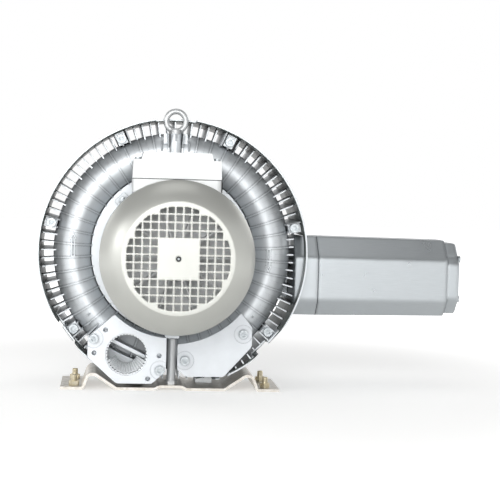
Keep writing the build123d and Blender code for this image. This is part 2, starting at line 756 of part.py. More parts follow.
def box_posts(h0, h1, radius, mode):
    """Round posts, screws or, with no radius, screw holes in the terminal box's corners."""
    with BuildSketch(level(h0)) as circles:
        with Locations((0, BOX_MIDDLE_Y)):
            with GridLocations(BOX_WIDTH - 2 * BOX_SCREW_INSET, BOX_DEPTH - 2 * BOX_SCREW_INSET, 2, 2):
                Circle(radius or BOX_SCREW_R + SCREW_PLAY)
    extrude(circles.sketch, amount=h1 - h0, mode=mode)


def box_crown(mode):
    """The hollow of the lid, between its four screw corners."""
    with BuildSketch(level(BOX_SEAM_H)) as wide:
        with Locations((0, BOX_MIDDLE_Y)):
            Rectangle(BOX_WIDTH - 2 * BOX_WALL, BOX_DEPTH - 4 * BOX_POST)
            Rectangle(2 * BOX_CROWN_X - 2 * BOX_WALL, BOX_DEPTH - 2 * BOX_WALL)
    extrude(wide.sketch, amount=BOX_STEP_H - BOX_WALL - BOX_SEAM_H, mode=mode)
    with BuildSketch(level(BOX_SEAM_H)) as high:
        with Locations((0, BOX_MIDDLE_Y)):
            Rectangle(2 * BOX_CROWN_X - 2 * BOX_WALL, BOX_DEPTH - 2 * BOX_WALL)
    extrude(high.sketch, amount=BOX_TOP_H - BOX_WALL - BOX_SEAM_H, mode=mode)


def entry_rods(radius, x0, x1, mode):
    """Rods or holes at the two cable entries in the box's right wall."""
    height = (BOX_BASE_H + BOX_SEAM_H) / 2
    with BuildSketch(side(x0)) as circles:
        with Locations((BOX_MIDDLE_Y, height)):
            with GridLocations(PLUG_PITCH, 1, 2, 1):
                Circle(radius)
    extrude(circles.sketch, amount=x1 - x0, mode=mode)


def key_block(play, mode):
    """The key on top of the drive end of the shaft, or with play its keyway."""

    blocks([(0, SHAFT_DRIVE_R)], KEY_WIDTH + 2 * play, KEY_HEIGHT + 2 * play, KEY_FRONT_Y,
           SHAFT_SHOULDER_Y - KEY_END_GAP, mode=mode)


def circlip_groove(mode):
    """The retaining ring in front of the cooling fan."""
    rise = CIRCLIP_RISE if mode == Mode.ADD else 0
    ring(SHAFT_FAN_R - CIRCLIP_SINK, SHAFT_FAN_R + rise, FAN_FRONT_Y - CIRCLIP_T, FAN_FRONT_Y, mode=mode)


with BuildPart() as front_fins:
    add(cooling_plates(RIB_COUNT, 0, SHROUD_FRONT_Y, PARTING_1_Y, True, RIB_PITCH / 2), clean=False)
    add(cooling_plates(RIB_COUNT, 0, SHROUD_FRONT_Y, PARTING_1_Y, False, 0), clean=False)
    lower_flats()
    silencer_window()
    extrude(blank_shape(SHROUD_FRONT_Y - 1, CASING_CUT_MARGIN),
            amount=BLANK_BOSS_Y - SHROUD_FRONT_Y + 1, dir=BACKWARD, mode=Mode.SUBTRACT, clean=False)
    eye_pocket()
    extrude(boss_squares(SHROUD_FRONT_Y - 1), amount=PARTING_1_Y - SHROUD_FRONT_Y + 1, dir=BACKWARD,
            mode=Mode.SUBTRACT, clean=False)
    pillar_slot()
    rods([(PORT_X, PORT_H)], PORT_R, INLET_BOSS_Y, PORT_FLOOR_Y, mode=Mode.SUBTRACT)

with BuildPart() as front_holes:
    hole_r = CASING_SCREW_R + SCREW_PLAY
    rods(INLET_SCREWS, hole_r, INLET_BOSS_Y, INLET_BOSS_Y + FLANGE_SCREW_GRIP + 1)
    rods(BLANK_SCREWS, hole_r, BLANK_BOSS_Y, BLANK_BOSS_Y + FLANGE_SCREW_GRIP + 1)
    rods(casing_screw_points(), hole_r, CASING_BOSS_FRONT_Y, PARTING_1_Y)
    rods(FRAME_SCREW_POINTS, hole_r, HUB_FACE_Y, HUB_FACE_Y + MOTOR_SCREW_GRIP + 1)
    foot_screw_holes(FRONT_FOOT_Y, Mode.ADD)
    with BuildSketch(level(EYE_SEAT_H)) as eye_hole:
        with Locations((0, EYE_Y)):
            Circle(hole_r)
    extrude(eye_hole.sketch, amount=-EYE_THREAD_LENGTH - 2)
    with BuildSketch(level(PILLAR_TOP_H)) as lug_hole:
        with Locations((PILLAR_X, PILLAR_Y)):
            Circle(hole_r)
    extrude(lug_hole.sketch, amount=PILLAR_LUG_T)

with BuildPart() as front_casing:
    ring(SHROUD_R - SHROUD_WALL, SHROUD_R, SHROUD_FRONT_Y, PARTING_1_Y)
    lower_flats()
    silencer_window()
    extrude(blank_shape(SHROUD_FRONT_Y - 1, CASING_CUT_MARGIN),
            amount=BLANK_BOSS_Y - SHROUD_FRONT_Y + 1, dir=BACKWARD, mode=Mode.SUBTRACT)
    eye_pocket()
    pillar_slot()
    flat_walls(SHROUD_FRONT_Y, PARTING_1_Y)
    revolve(channel_section(TUBE_R, 0, PARTING_1_Y), axis=MOTOR_AXIS)
    ring(DE_BEARING[1] - 1, CHANNEL_R - TUBE_R + 1, HUB_FACE_Y, 0)
    ring(SHAFT_DRIVE_R, DE_BEARING[1] + HUB_WALL, DE_BEARING_Y, 0)
    extrude(inlet_shape(INLET_BOSS_Y, BOSS_INSET), amount=BOSS_BACK_Y - INLET_BOSS_Y, dir=BACKWARD)
    extrude(blank_shape(BLANK_BOSS_Y, -BOSS_INSET), amount=BOSS_BACK_Y - BLANK_BOSS_Y, dir=BACKWARD)
    extrude(boss_squares(CASING_BOSS_FRONT_Y), amount=PARTING_1_Y - CASING_BOSS_FRONT_Y, dir=BACKWARD)
    casing_feet(FRONT_FOOT_Y)
    blocks([(PILLAR_X, PILLAR_TOP_H + PILLAR_LUG_T / 2)], PILLAR_LUG_WIDTH, PILLAR_LUG_T,
           PILLAR_Y - PILLAR_R, HUB_FACE_Y)
    with BuildSketch(level(EYE_SEAT_H - EYE_BOSS_DEPTH)) as eye_boss:
        with Locations((0, EYE_Y)):
            Circle(EYE_BOSS_R)
        with Locations((0, EYE_Y / 2)):
            Rectangle(EYE_BOSS_WIDTH, -EYE_Y)
    extrude(eye_boss.sketch, amount=EYE_BOSS_DEPTH)
    revolve(channel_section(TUBE_R - CASTING_WALL, 0, PARTING_1_Y), axis=MOTOR_AXIS, mode=Mode.SUBTRACT)
    ring(0, CHANNEL_R, 0, PARTING_1_Y, mode=Mode.SUBTRACT)
    ring(0, DE_BEARING[1], DE_BEARING_Y, HUB_FACE_Y, mode=Mode.SUBTRACT)
    ring(0, SEAL_R, SEAL_Y, SEAL_Y + SEAL_T, mode=Mode.SUBTRACT)
    ring(0, SHAFT_DRIVE_R + 2, HUB_FACE_Y, 0, mode=Mode.SUBTRACT)
    rods([(PORT_X, PORT_H)], PORT_R, INLET_BOSS_Y, PORT_FLOOR_Y, mode=Mode.SUBTRACT)
    with BuildSketch(at(DIVIDER_Y)) as divider:
        with Locations(Location((PORT_X, PORT_H + DIVIDER_H, 0), DIVIDER_ANGLE)):
            Rectangle(2 * PORT_R, DIVIDER_T)
        with Locations((PORT_X, PORT_H)):
            Circle(PORT_R + 1, mode=Mode.INTERSECT)
    extrude(divider.sketch, amount=PORT_FLOOR_Y - DIVIDER_Y + 1, dir=BACKWARD)
    ring(SEAL_IN_R, SEAL_OUT_R, PARTING_1_Y - SEAL_DEPTH, PARTING_1_Y, mode=Mode.SUBTRACT)
    add(front_fins.part, clean=False)
    add(front_holes.part, mode=Mode.SUBTRACT, clean=False)
keep(front_casing, "front_casing")

with BuildPart() as middle_casing:
    plates(REAR_FIN_COUNT, CHANNEL_R + TUBE_R - 1, FIN_OUT_R, FIN_T, PARTING_1_Y, PARTING_2_Y)
    ring(SHROUD_R - SHROUD_WALL, SHROUD_R, PARTING_1_Y, PARTING_2_Y)
    ring(CHANNEL_R + TUBE_R - CASTING_WALL, CHANNEL_R + TUBE_R, PARTING_1_Y, PARTING_2_Y)
    lower_flats()
    silencer_window()
    flat_walls(PARTING_1_Y, PARTING_2_Y)
    ring(CHANNEL_R - TUBE_R, CHANNEL_R - TUBE_R + CASTING_WALL, PARTING_1_Y, PARTING_2_Y)
    ring(SPACER_R + RUNNING_GAP, MIDDLE_HUB_R, PARTING_1_Y, PARTING_2_Y)
    ring(MIDDLE_HUB_R - 1, CHANNEL_R + TUBE_R - 1, MIDDLE_WEB_Y, MIDDLE_WEB_Y + MIDDLE_WEB_T)
    extrude(boss_squares(PARTING_1_Y), amount=MIDDLE_WIDTH, dir=BACKWARD)
    casing_feet(MIDDLE_FOOT_Y)
    rods([polar(CHANNEL_R, TRANSFER_ANGLE)], TRANSFER_R, PARTING_1_Y, PARTING_2_Y, mode=Mode.SUBTRACT)
    rods(casing_screw_points(), CASING_SCREW_R + SCREW_PLAY, PARTING_1_Y, PARTING_2_Y, mode=Mode.SUBTRACT)
    foot_screw_holes(MIDDLE_FOOT_Y)
keep(middle_casing, "middle_casing")

with BuildPart() as cover_fins:
    add(cooling_plates(REAR_FIN_COUNT // 2, COVER_TUBE_Y, SHROUD_BACK_Y, PARTING_2_Y, True, REAR_PITCH),
        clean=False)
    add(cooling_plates(REAR_FIN_COUNT // 2, COVER_TUBE_Y, SHROUD_BACK_Y, PARTING_2_Y, False, 0),
        clean=False)
    lower_flats()
    silencer_window()
    extrude(boss_squares(PARTING_2_Y), amount=CASING_BOSS_BACK_Y - PARTING_2_Y, dir=BACKWARD,
            mode=Mode.SUBTRACT, clean=False)
    outlet_block(CHANNEL_R, Mode.SUBTRACT)

with BuildPart() as cover_casing:
    ring(SHROUD_R - SHROUD_WALL, SHROUD_R, PARTING_2_Y, SHROUD_BACK_Y)
    lower_flats()
    silencer_window()
    flat_walls(PARTING_2_Y, SHROUD_BACK_Y)
    revolve(channel_section(TUBE_R, COVER_TUBE_Y, PARTING_2_Y), axis=MOTOR_AXIS)
    ring(0, CHANNEL_R - TUBE_R + 1, COVER_TUBE_Y, COVER_TUBE_Y + HUB_WALL)
    ring(0, NUT_CAP_R + CASTING_WALL, COVER_TUBE_Y, NUT_CAP_Y + CASTING_WALL)
    extrude(boss_squares(PARTING_2_Y), amount=CASING_BOSS_BACK_Y - PARTING_2_Y, dir=BACKWARD)
    outlet_block(CHANNEL_R, Mode.ADD)
    revolve(channel_section(TUBE_R - CASTING_WALL, COVER_TUBE_Y, PARTING_2_Y), axis=MOTOR_AXIS,
            mode=Mode.SUBTRACT)
    ring(0, CHANNEL_R, PARTING_2_Y, COVER_TUBE_Y, mode=Mode.SUBTRACT)
    ring(0, NUT_CAP_R, COVER_TUBE_Y, NUT_CAP_Y, mode=Mode.SUBTRACT)
    outlet_window(CHANNEL_R, OUTLET_FACE_X, Mode.SUBTRACT)
    rods(casing_screw_points(), CASING_SCREW_R + SCREW_PLAY, PARTING_2_Y, CASING_BOSS_BACK_Y,
         mode=Mode.SUBTRACT)
    ring(SEAL_IN_R, SEAL_OUT_R, PARTING_2_Y, PARTING_2_Y + SEAL_DEPTH, mode=Mode.SUBTRACT)
    outlet_screw_rods(FLANGE_SCREW_R + SCREW_PLAY, OUTLET_FACE_X - OUTLET_SCREW_GRIP, OUTLET_FACE_X,
                      Mode.SUBTRACT)
    add(cover_fins.part, clean=False)
keep(cover_casing, "cover_casing")

casing_screws = socket_screws(casing_screw_points(), CASING_BOSS_FRONT_Y, CASING_SCREW_R,
                              PARTING_2_Y + CASING_SCREW_GRIP - CASING_BOSS_FRONT_Y)
keep(casing_screws, "casing_screws")

with BuildPart() as casing_seals:
    ring(SEAL_IN_R, SEAL_OUT_R, PARTING_1_Y - SEAL_DEPTH, PARTING_1_Y)
    ring(SEAL_IN_R, SEAL_OUT_R, PARTING_2_Y, PARTING_2_Y + SEAL_DEPTH)
keep(casing_seals, "casing_seals")

# ---------------------------------------------------------------- ports and flanges
with BuildPart() as inlet_flange:
    extrude(inlet_shape(INLET_FACE_Y), amount=FLANGE_T, dir=BACKWARD)
    rods([(PORT_X, PORT_H)], PORT_R, INLET_FACE_Y, INLET_FACE_Y + FLANGE_T, mode=Mode.SUBTRACT)
    rods(INLET_TAPS, FLANGE_TAP_R, INLET_FACE_Y, INLET_FACE_Y + FLANGE_TAP_DEPTH, mode=Mode.SUBTRACT)
    rods(INLET_SCREWS, FLANGE_SCREW_R + SCREW_PLAY, INLET_FACE_Y, INLET_FACE_Y + FLANGE_T,
         mode=Mode.SUBTRACT)
    rods(INLET_SCREWS, PAD_R, INLET_FACE_Y, INLET_FACE_Y + PAD_DEPTH, mode=Mode.SUBTRACT)
keep(inlet_flange, "inlet_flange")

with BuildPart() as inlet_gasket:
    extrude(inlet_shape(INLET_BOSS_Y - GASKET_T, BOSS_INSET), amount=GASKET_T, dir=BACKWARD)
    rods([(PORT_X, PORT_H)], PORT_R + 1, INLET_BOSS_Y - GASKET_T, INLET_BOSS_Y, mode=Mode.SUBTRACT)
    rods(INLET_SCREWS, FLANGE_SCREW_R + SCREW_PLAY, INLET_BOSS_Y - GASKET_T, INLET_BOSS_Y,
         mode=Mode.SUBTRACT)
keep(inlet_gasket, "inlet_gasket")

inlet_flange_screws = socket_screws(INLET_SCREWS, INLET_FACE_Y + PAD_DEPTH, FLANGE_SCREW_R,
                                    FLANGE_T + FLANGE_SCREW_GRIP)
keep(inlet_flange_screws, "inlet_flange_screws")

with BuildPart() as port_liner:
    rods([(PORT_X, PORT_H)], PORT_R, LINER_Y, LINER_Y + LINER_LENGTH)
    rods([(PORT_X, PORT_H)], PORT_R - LINER_WALL, LINER_Y, LINER_Y + LINER_LENGTH, mode=Mode.SUBTRACT)
    with BuildSketch(at(LINER_Y)) as flutes:
        with Locations((PORT_X, PORT_H)):
            with PolarLocations(PORT_R - LINER_WALL, FLUTE_COUNT):
                Rectangle(2 * FLUTE_DEPTH, FLUTE_DEPTH)
    extrude(flutes.sketch, amount=LINER_LENGTH, dir=BACKWARD, mode=Mode.SUBTRACT)
keep(port_liner, "port_liner")

with BuildPart() as blank_flange:
    extrude(blank_shape(BLANK_FACE_Y), amount=BLANK_T, dir=BACKWARD)
    rods(BLANK_SCREWS, FLANGE_SCREW_R + SCREW_PLAY, BLANK_FACE_Y, BLANK_FACE_Y + BLANK_T,
         mode=Mode.SUBTRACT)
    rods(BLANK_SCREWS, PAD_R, BLANK_FACE_Y, BLANK_FACE_Y + PAD_DEPTH, mode=Mode.SUBTRACT)
keep(blank_flange, "blank_flange")

with BuildPart() as blank_gasket:
    extrude(blank_shape(BLANK_BOSS_Y - GASKET_T, -BOSS_INSET), amount=GASKET_T, dir=BACKWARD)
    rods(BLANK_SCREWS, FLANGE_SCREW_R + SCREW_PLAY, BLANK_BOSS_Y - GASKET_T, BLANK_BOSS_Y,
         mode=Mode.SUBTRACT)
keep(blank_gasket, "blank_gasket")

blank_flange_screws = socket_screws(BLANK_SCREWS, BLANK_FACE_Y + PAD_DEPTH, FLANGE_SCREW_R,
                                    BLANK_T + FLANGE_SCREW_GRIP)
keep(blank_flange_screws, "blank_flange_screws")

with BuildPart() as lifting_eye:
    eye_centre = (0, EYE_Y, AXIS_HEIGHT + EYE_SEAT_H + EYE_OUT_R)
    with Locations(Plane(origin=eye_centre, x_dir=(1, 0, 0), z_dir=(0, -1, 0)).location):
        Torus((EYE_OUT_R + EYE_IN_R) / 2, EYE_T / 2)
    with BuildSketch(level(EYE_SEAT_H)) as collar:
        with Locations((0, EYE_Y)):
            Circle(EYE_COLLAR_R)
    extrude(collar.sketch, amount=EYE_COLLAR_T, taper=EYE_COLLAR_TAPER)
    with BuildSketch(level(EYE_SEAT_H)) as thread:
        with Locations((0, EYE_Y)):
            Circle(EYE_THREAD_R)
    extrude(thread.sketch, amount=-EYE_THREAD_LENGTH)
keep(lifting_eye, "lifting_eye")

# ---------------------------------------------------------------- foot bracket and its hardware
with BuildPart() as base_bracket:
    half = [(TAB_END_X, 0), (TAB_X, 0), (HUMP_OUT_X, HUMP_Z), (HUMP_IN_X, HUMP_Z), (FLAT_OUT_X, 0),
            (FLAT_IN_X, 0), (MIDDLE_X, MIDDLE_Z)]
    lower_line = [(-x, z) for x, z in half] + [(x, z) for x, z in reversed(half)]
    with BuildSketch(Plane.XZ.offset(-BRACKET_DEPTH / 2)) as bent:
        with BuildLine():
            FilletPolyline(*lower_line, radius=SHEET_BEND_R)
            offset(amount=SHEET_T, side=Side.LEFT)
        make_face()
    extrude(bent.sketch, amount=BRACKET_DEPTH)
    with BuildSketch(Plane.XY) as mounting_holes:
        with Locations((-MOUNT_HOLE_X, 0), (MOUNT_HOLE_X, 0)):
            Circle(MOUNT_HOLE_R)
    extrude(mounting_holes.sketch, amount=SHEET_T, mode=Mode.SUBTRACT)
    with BuildSketch(Plane.XY) as stud_holes:
        with Locations(*STUD_POINTS):
            Circle(STUD_R + STUD_PLAY)
    extrude(stud_holes.sketch, amount=SHEET_T, mode=Mode.SUBTRACT)
    with BuildSketch(Plane.XY) as foot_holes:
        with Locations(*FOOT_POINTS):
            Circle(FOOT_SCREW_R + SCREW_PLAY)
    extrude(foot_holes.sketch, amount=SHEET_T, mode=Mode.SUBTRACT)
    with BuildSketch(Plane.XY) as foot_sinks:
        with Locations(*FOOT_POINTS):
            Circle(2 * FOOT_SCREW_R + SCREW_PLAY)
    extrude(foot_sinks.sketch, amount=FOOT_SCREW_R, taper=SINK_ANGLE, mode=Mode.SUBTRACT)
keep(base_bracket, "base_bracket")

with BuildPart() as bracket_screws:
    with BuildSketch(Plane.XY) as sunk_heads:
        with Locations(*FOOT_POINTS):
            Circle(2 * FOOT_SCREW_R)
    extrude(sunk_heads.sketch, amount=FOOT_SCREW_R - FOOT_SINK_GAP, taper=SINK_ANGLE)
    with BuildSketch(Plane.XY) as foot_shanks:
        with Locations(*FOOT_POINTS):
            Circle(FOOT_SCREW_R)
    extrude(foot_shanks.sketch, amount=FOOT_SCREW_LENGTH)
    with BuildSketch(Plane.XY) as foot_keys:
        with Locations(*FOOT_POINTS):
            RegularPolygon(FOOT_KEY_R, 6)
    extrude(foot_keys.sketch, amount=FOOT_KEY_DEPTH, mode=Mode.SUBTRACT)
keep(bracket_screws, "bracket_screws")

with BuildPart() as foot_studs:
    with BuildSketch(Plane.XY) as studs:
        with Locations(*STUD_POINTS):
            Circle(STUD_R)
    extrude(studs.sketch, amount=STUD_HEIGHT)
    chamfer(foot_studs.edges().filter_by(GeomType.CIRCLE).group_by(Axis.Z)[-1], STUD_CHAMFER)
keep(foot_studs, "foot_studs")

with BuildPart() as foot_nuts:
    with BuildSketch(Plane.XY.offset(SHEET_T)) as nuts:
        with Locations(*STUD_POINTS):
            RegularPolygon(NUT_FLATS / sqrt(3), 6, rotation=15)
            Circle(STUD_R + STUD_PLAY, mode=Mode.SUBTRACT)
    extrude(nuts.sketch, amount=NUT_T)
keep(foot_nuts, "foot_nuts")

with BuildPart() as support_pillar:
    with BuildSketch(Plane.XY.offset(MIDDLE_Z + SHEET_T)) as pillar:
        with Locations((PILLAR_X, PILLAR_Y)):
            Circle(PILLAR_R)
    extrude(pillar.sketch, amount=AXIS_HEIGHT + PILLAR_TOP_H - MIDDLE_Z - SHEET_T)
    chamfer(support_pillar.edges().group_by(Axis.Z)[-1], PILLAR_CHAMFER)
    with BuildSketch(Plane.XY.offset(MIDDLE_Z + SHEET_T)) as pillar_collar:
        with Locations((PILLAR_X, PILLAR_Y)):
            RegularPolygon(PILLAR_COLLAR_R, 6)
    extrude(pillar_collar.sketch, amount=PILLAR_COLLAR_T)
    with BuildSketch(level(PILLAR_TOP_H)) as pillar_hole:
        with Locations((PILLAR_X, PILLAR_Y)):
            Circle(PILLAR_SCREW_R + SCREW_PLAY)
    extrude(pillar_hole.sketch, amount=-PILLAR_TAP_DEPTH, mode=Mode.SUBTRACT)
keep(support_pillar, "support_pillar")

with BuildPart() as pillar_screw:
    with BuildSketch(level(PILLAR_TOP_H + PILLAR_LUG_T)) as pillar_head:
        with Locations((PILLAR_X, PILLAR_Y)):
            Circle(SCREW_HEAD_SHARE * PILLAR_SCREW_R)
    extrude(pillar_head.sketch, amount=PILLAR_SCREW_HEAD_T)
    with BuildSketch(level(PILLAR_TOP_H + PILLAR_LUG_T)) as pillar_shank:
        with Locations((PILLAR_X, PILLAR_Y)):
            Circle(PILLAR_SCREW_R)
    extrude(pillar_shank.sketch, amount=-PILLAR_LUG_T - PILLAR_SCREW_GRIP)
keep(pillar_screw, "pillar_screw")

# ---------------------------------------------------------------- outlet silencer

with BuildPart() as silencer_adapter:
    extrude(silencer_shape(ADAPTER_X), amount=ADAPTER_LENGTH)
    extrude(silencer_shape(ADAPTER_X + ADAPTER_PLATE_T, ADAPTER_WALL),
            amount=ADAPTER_LENGTH, mode=Mode.SUBTRACT)
    outlet_window(ADAPTER_X, ADAPTER_X + ADAPTER_PLATE_T, Mode.SUBTRACT)
    outlet_screw_rods(FLANGE_SCREW_R + SCREW_PLAY, ADAPTER_X, ADAPTER_X + ADAPTER_PLATE_T, Mode.SUBTRACT)
    tie_rods(TIE_R + TIE_WALL, ADAPTER_X + ADAPTER_PLATE_T - JOIN, BODY_X, Mode.ADD)
    tie_rods(TIE_R + SCREW_PLAY, ADAPTER_X + ADAPTER_PLATE_T, BODY_X, Mode.SUBTRACT)
keep(silencer_adapter, "silencer_adapter")

with BuildPart() as silencer_gasket:
    outlet_sheet()
keep(silencer_gasket, "silencer_gasket")

with BuildPart() as silencer_screws:
    outlet_screw_rods(FLANGE_SCREW_R, OUTLET_FACE_X - OUTLET_SCREW_GRIP + OUTLET_SCREW_GAP,
                      ADAPTER_X + ADAPTER_PLATE_T, Mode.ADD)
    outlet_screw_rods(SCREW_HEAD_SHARE * FLANGE_SCREW_R, ADAPTER_X + ADAPTER_PLATE_T,
                      ADAPTER_X + ADAPTER_PLATE_T + OUTLET_SCREW_HEAD_T, Mode.ADD)
keep(silencer_screws, "silencer_screws")

with BuildPart() as silencer_body:
    extrude(silencer_shape(BODY_X), amount=BODY_LENGTH, taper=BODY_DRAFT)
    extrude(silencer_shape(BODY_X, SILENCER_WALL), amount=BODY_LENGTH, taper=BODY_DRAFT, mode=Mode.SUBTRACT)
keep(silencer_body, "silencer_body")

with BuildPart() as silencer_end_cap:
    extrude(silencer_shape(CAP_X, BODY_TAPER, CAP_INSET), amount=CAP_LENGTH)
    fillet(silencer_end_cap.faces().sort_by(Axis.X)[-1].edges(), CAP_ROUND)
    extrude(silencer_shape(CAP_X, BODY_TAPER + SILENCER_WALL, CAP_INSET),
            amount=CAP_LENGTH - CAP_PLATE_T, mode=Mode.SUBTRACT)
    axial(OUTLET_R, CAP_X, SILENCER_END_X, Mode.SUBTRACT)
    tie_rods(TIE_R + SCREW_PLAY, CAP_X, SILENCER_END_X, Mode.SUBTRACT)
keep(silencer_end_cap, "silencer_end_cap")

with BuildPart() as tie_screws:
    tie_rods(TIE_R, ADAPTER_X + ADAPTER_PLATE_T + TIE_SEAT_DEPTH, SILENCER_END_X, Mode.ADD)
    tie_rods(SCREW_HEAD_SHARE * TIE_R, SILENCER_END_X, SILENCER_END_X + TIE_HEAD_T, Mode.ADD)
keep(tie_screws, "tie_screws")

with BuildPart() as silencer_tube:
    axial(TUBE_IN_R + TUBE_WALL, BODY_X + LINING_GAP, SILENCER_END_X - CAP_PLATE_T, Mode.ADD)
    axial(TUBE_IN_R, BODY_X + LINING_GAP, SILENCER_END_X - CAP_PLATE_T, Mode.SUBTRACT)
keep(silencer_tube, "silencer_tube")

with BuildPart() as silencer_foam:
    extrude(silencer_shape(BODY_X + LINING_GAP, SILENCER_WALL + FOAM_GAP),
            amount=BODY_LENGTH - 2 * LINING_GAP, taper=BODY_DRAFT)
    axial(TUBE_IN_R + TUBE_WALL, BODY_X + LINING_GAP, CAP_X, Mode.SUBTRACT)
    tie_rods(TIE_R + SCREW_PLAY, BODY_X + LINING_GAP, CAP_X, Mode.SUBTRACT)
keep(silencer_foam, "silencer_foam")

# ---------------------------------------------------------------- motor
with BuildPart() as motor_frame:
    plates(FRAME_FIN_COUNT, FRAME_BORE_R + 1, FRAME_FIN_R, FRAME_FIN_T, FRAME_FRONT_Y, FRAME_FIN_END_Y,
           180 / FRAME_FIN_COUNT)
    blocks([(0, BOX_BASE_H + BOX_WIDTH / 2)], BOX_WIDTH + 2 * BOX_FRAME_GAP, BOX_WIDTH,
           BOX_FRONT_Y - BOX_FRAME_GAP, BOX_BACK_Y + BOX_FRAME_GAP, mode=Mode.SUBTRACT)
    ring(FRAME_BORE_R, FRAME_R, FRAME_FRONT_Y, HUB_FACE_Y)
    blocks([(0, BOX_BASE_H - FRAME_PAD_H / 2)], FRAME_PAD_WIDTH, FRAME_PAD_H,
           BOX_FRONT_Y + BOX_FRAME_GAP, BOX_BACK_Y - BOX_FRAME_GAP)
    plates(4, FRAME_R - 1, FRAME_LUG_R, FRAME_LUG_WIDTH, FRAME_LUG_Y, HUB_FACE_Y, 45)
    ring(0, FRAME_BORE_R, FRAME_FRONT_Y, HUB_FACE_Y, mode=Mode.SUBTRACT)
    rods(FRAME_SCREW_POINTS, CASING_SCREW_R + SCREW_PLAY, FRAME_LUG_Y, HUB_FACE_Y, mode=Mode.SUBTRACT)
    rods(SHIELD_SCREW_POINTS, SHIELD_SCREW_R + SCREW_PLAY, FRAME_FRONT_Y,
         FRAME_FRONT_Y + SHIELD_SCREW_GRIP + 2, mode=Mode.SUBTRACT)
keep(motor_frame, "motor_frame")

motor_screws = socket_screws(FRAME_SCREW_POINTS, FRAME_LUG_Y, CASING_SCREW_R,
                             FRAME_LUG_T + MOTOR_SCREW_GRIP)
keep(motor_screws, "motor_screws")

with BuildPart() as stator_core:
    ring(ROTOR_R + AIR_GAP, FRAME_BORE_R, CORE_FRONT_Y, CORE_BACK_Y)
    plates(SLOT_COUNT, ROTOR_R - 1, STATOR_YOKE_R, SLOT_WIDTH, CORE_FRONT_Y, CORE_BACK_Y, 0,
           mode=Mode.SUBTRACT)
keep(stator_core, "stator_core")

with BuildPart() as stator_winding:
    plates(SLOT_COUNT, ROTOR_R + AIR_GAP + 1, STATOR_YOKE_R, SLOT_WIDTH, CORE_FRONT_Y - 3, CORE_BACK_Y + 3)
    ring(WINDING_IN_R, WINDING_OUT_R, CORE_FRONT_Y - WINDING_OVERHANG, CORE_FRONT_Y)
    ring(WINDING_IN_R, WINDING_OUT_R, CORE_BACK_Y, CORE_BACK_Y + WINDING_OVERHANG)
keep(stator_winding, "stator_winding")

with BuildPart() as end_shield:
    ring(NDE_HOLE_R, FRAME_R, FRAME_FRONT_Y - SHIELD_T, FRAME_FRONT_Y)
    ring(NDE_BEARING[1] - 1, SHIELD_BOSS_R, FRAME_FRONT_Y - 1, NDE_BEARING_Y + NDE_BEARING[2])
    plates(4, FRAME_R - 6, SHIELD_LUG_R, SHIELD_LUG, FRAME_FRONT_Y - SHIELD_T, FRAME_FRONT_Y, 45)
    ring(0, NDE_BEARING[1], NDE_BEARING_Y - SPRING_T, NDE_BEARING_Y + NDE_BEARING[2], mode=Mode.SUBTRACT)
    rods(SHIELD_SCREW_POINTS, SHIELD_SCREW_R + SCREW_PLAY, FRAME_FRONT_Y - SHIELD_T, FRAME_FRONT_Y,
         mode=Mode.SUBTRACT)
    radial_rods(COWL_SCREW_R + SCREW_PLAY, COWL_R - COWL_SCREW_LENGTH - 2, COWL_R, COWL_SCREW_Y,
                Mode.SUBTRACT)
keep(end_shield, "end_shield")

end_shield_screws = socket_screws(SHIELD_SCREW_POINTS, FRAME_FRONT_Y - SHIELD_T, SHIELD_SCREW_R,
                                  SHIELD_T + SHIELD_SCREW_GRIP)
keep(end_shield_screws, "end_shield_screws")


def bearing(front_y, size):
    """The outer ring, inner ring and balls of a deep groove bearing."""
    bore_r, outer_r, width, ball_r, count = size
    pitch_r = (bore_r + outer_r) / 2
    lip = ball_r / 2
    centre_y = front_y + width / 2
    with BuildPart() as outer:
        ring(pitch_r + lip, outer_r, front_y, front_y + width)
        groove(pitch_r, ball_r + BALL_PLAY, centre_y)
    with BuildPart() as inner:
        ring(bore_r, pitch_r - lip, front_y, front_y + width)
        groove(pitch_r, ball_r + BALL_PLAY, centre_y)
    with BuildPart() as balls:
        with Locations(at(centre_y)):
            with PolarLocations(pitch_r, count):
                Sphere(ball_r)
    return outer, inner, balls


for prefix, front_y, size in (("drive_bearing", DE_BEARING_Y, DE_BEARING),
                              ("fan_bearing", NDE_BEARING_Y, NDE_BEARING)):
    outer_ring, inner_ring, ball_set = bearing(front_y, size)
    keep(outer_ring, prefix + "_outer")
    keep(inner_ring, prefix + "_inner")
    keep(ball_set, prefix + "_balls")

with BuildPart() as preload_spring:
    ring(NDE_BEARING[1] - SPRING_PLAY - SPRING_WIDTH, NDE_BEARING[1] - SPRING_PLAY,
         NDE_BEARING_Y - SPRING_T, NDE_BEARING_Y)
keep(preload_spring, "preload_spring")

with BuildPart() as shaft_seal:
    ring(SHAFT_DRIVE_R + RUNNING_GAP, SEAL_R, SEAL_Y, SEAL_Y + SEAL_T)
keep(shaft_seal, "shaft_seal")

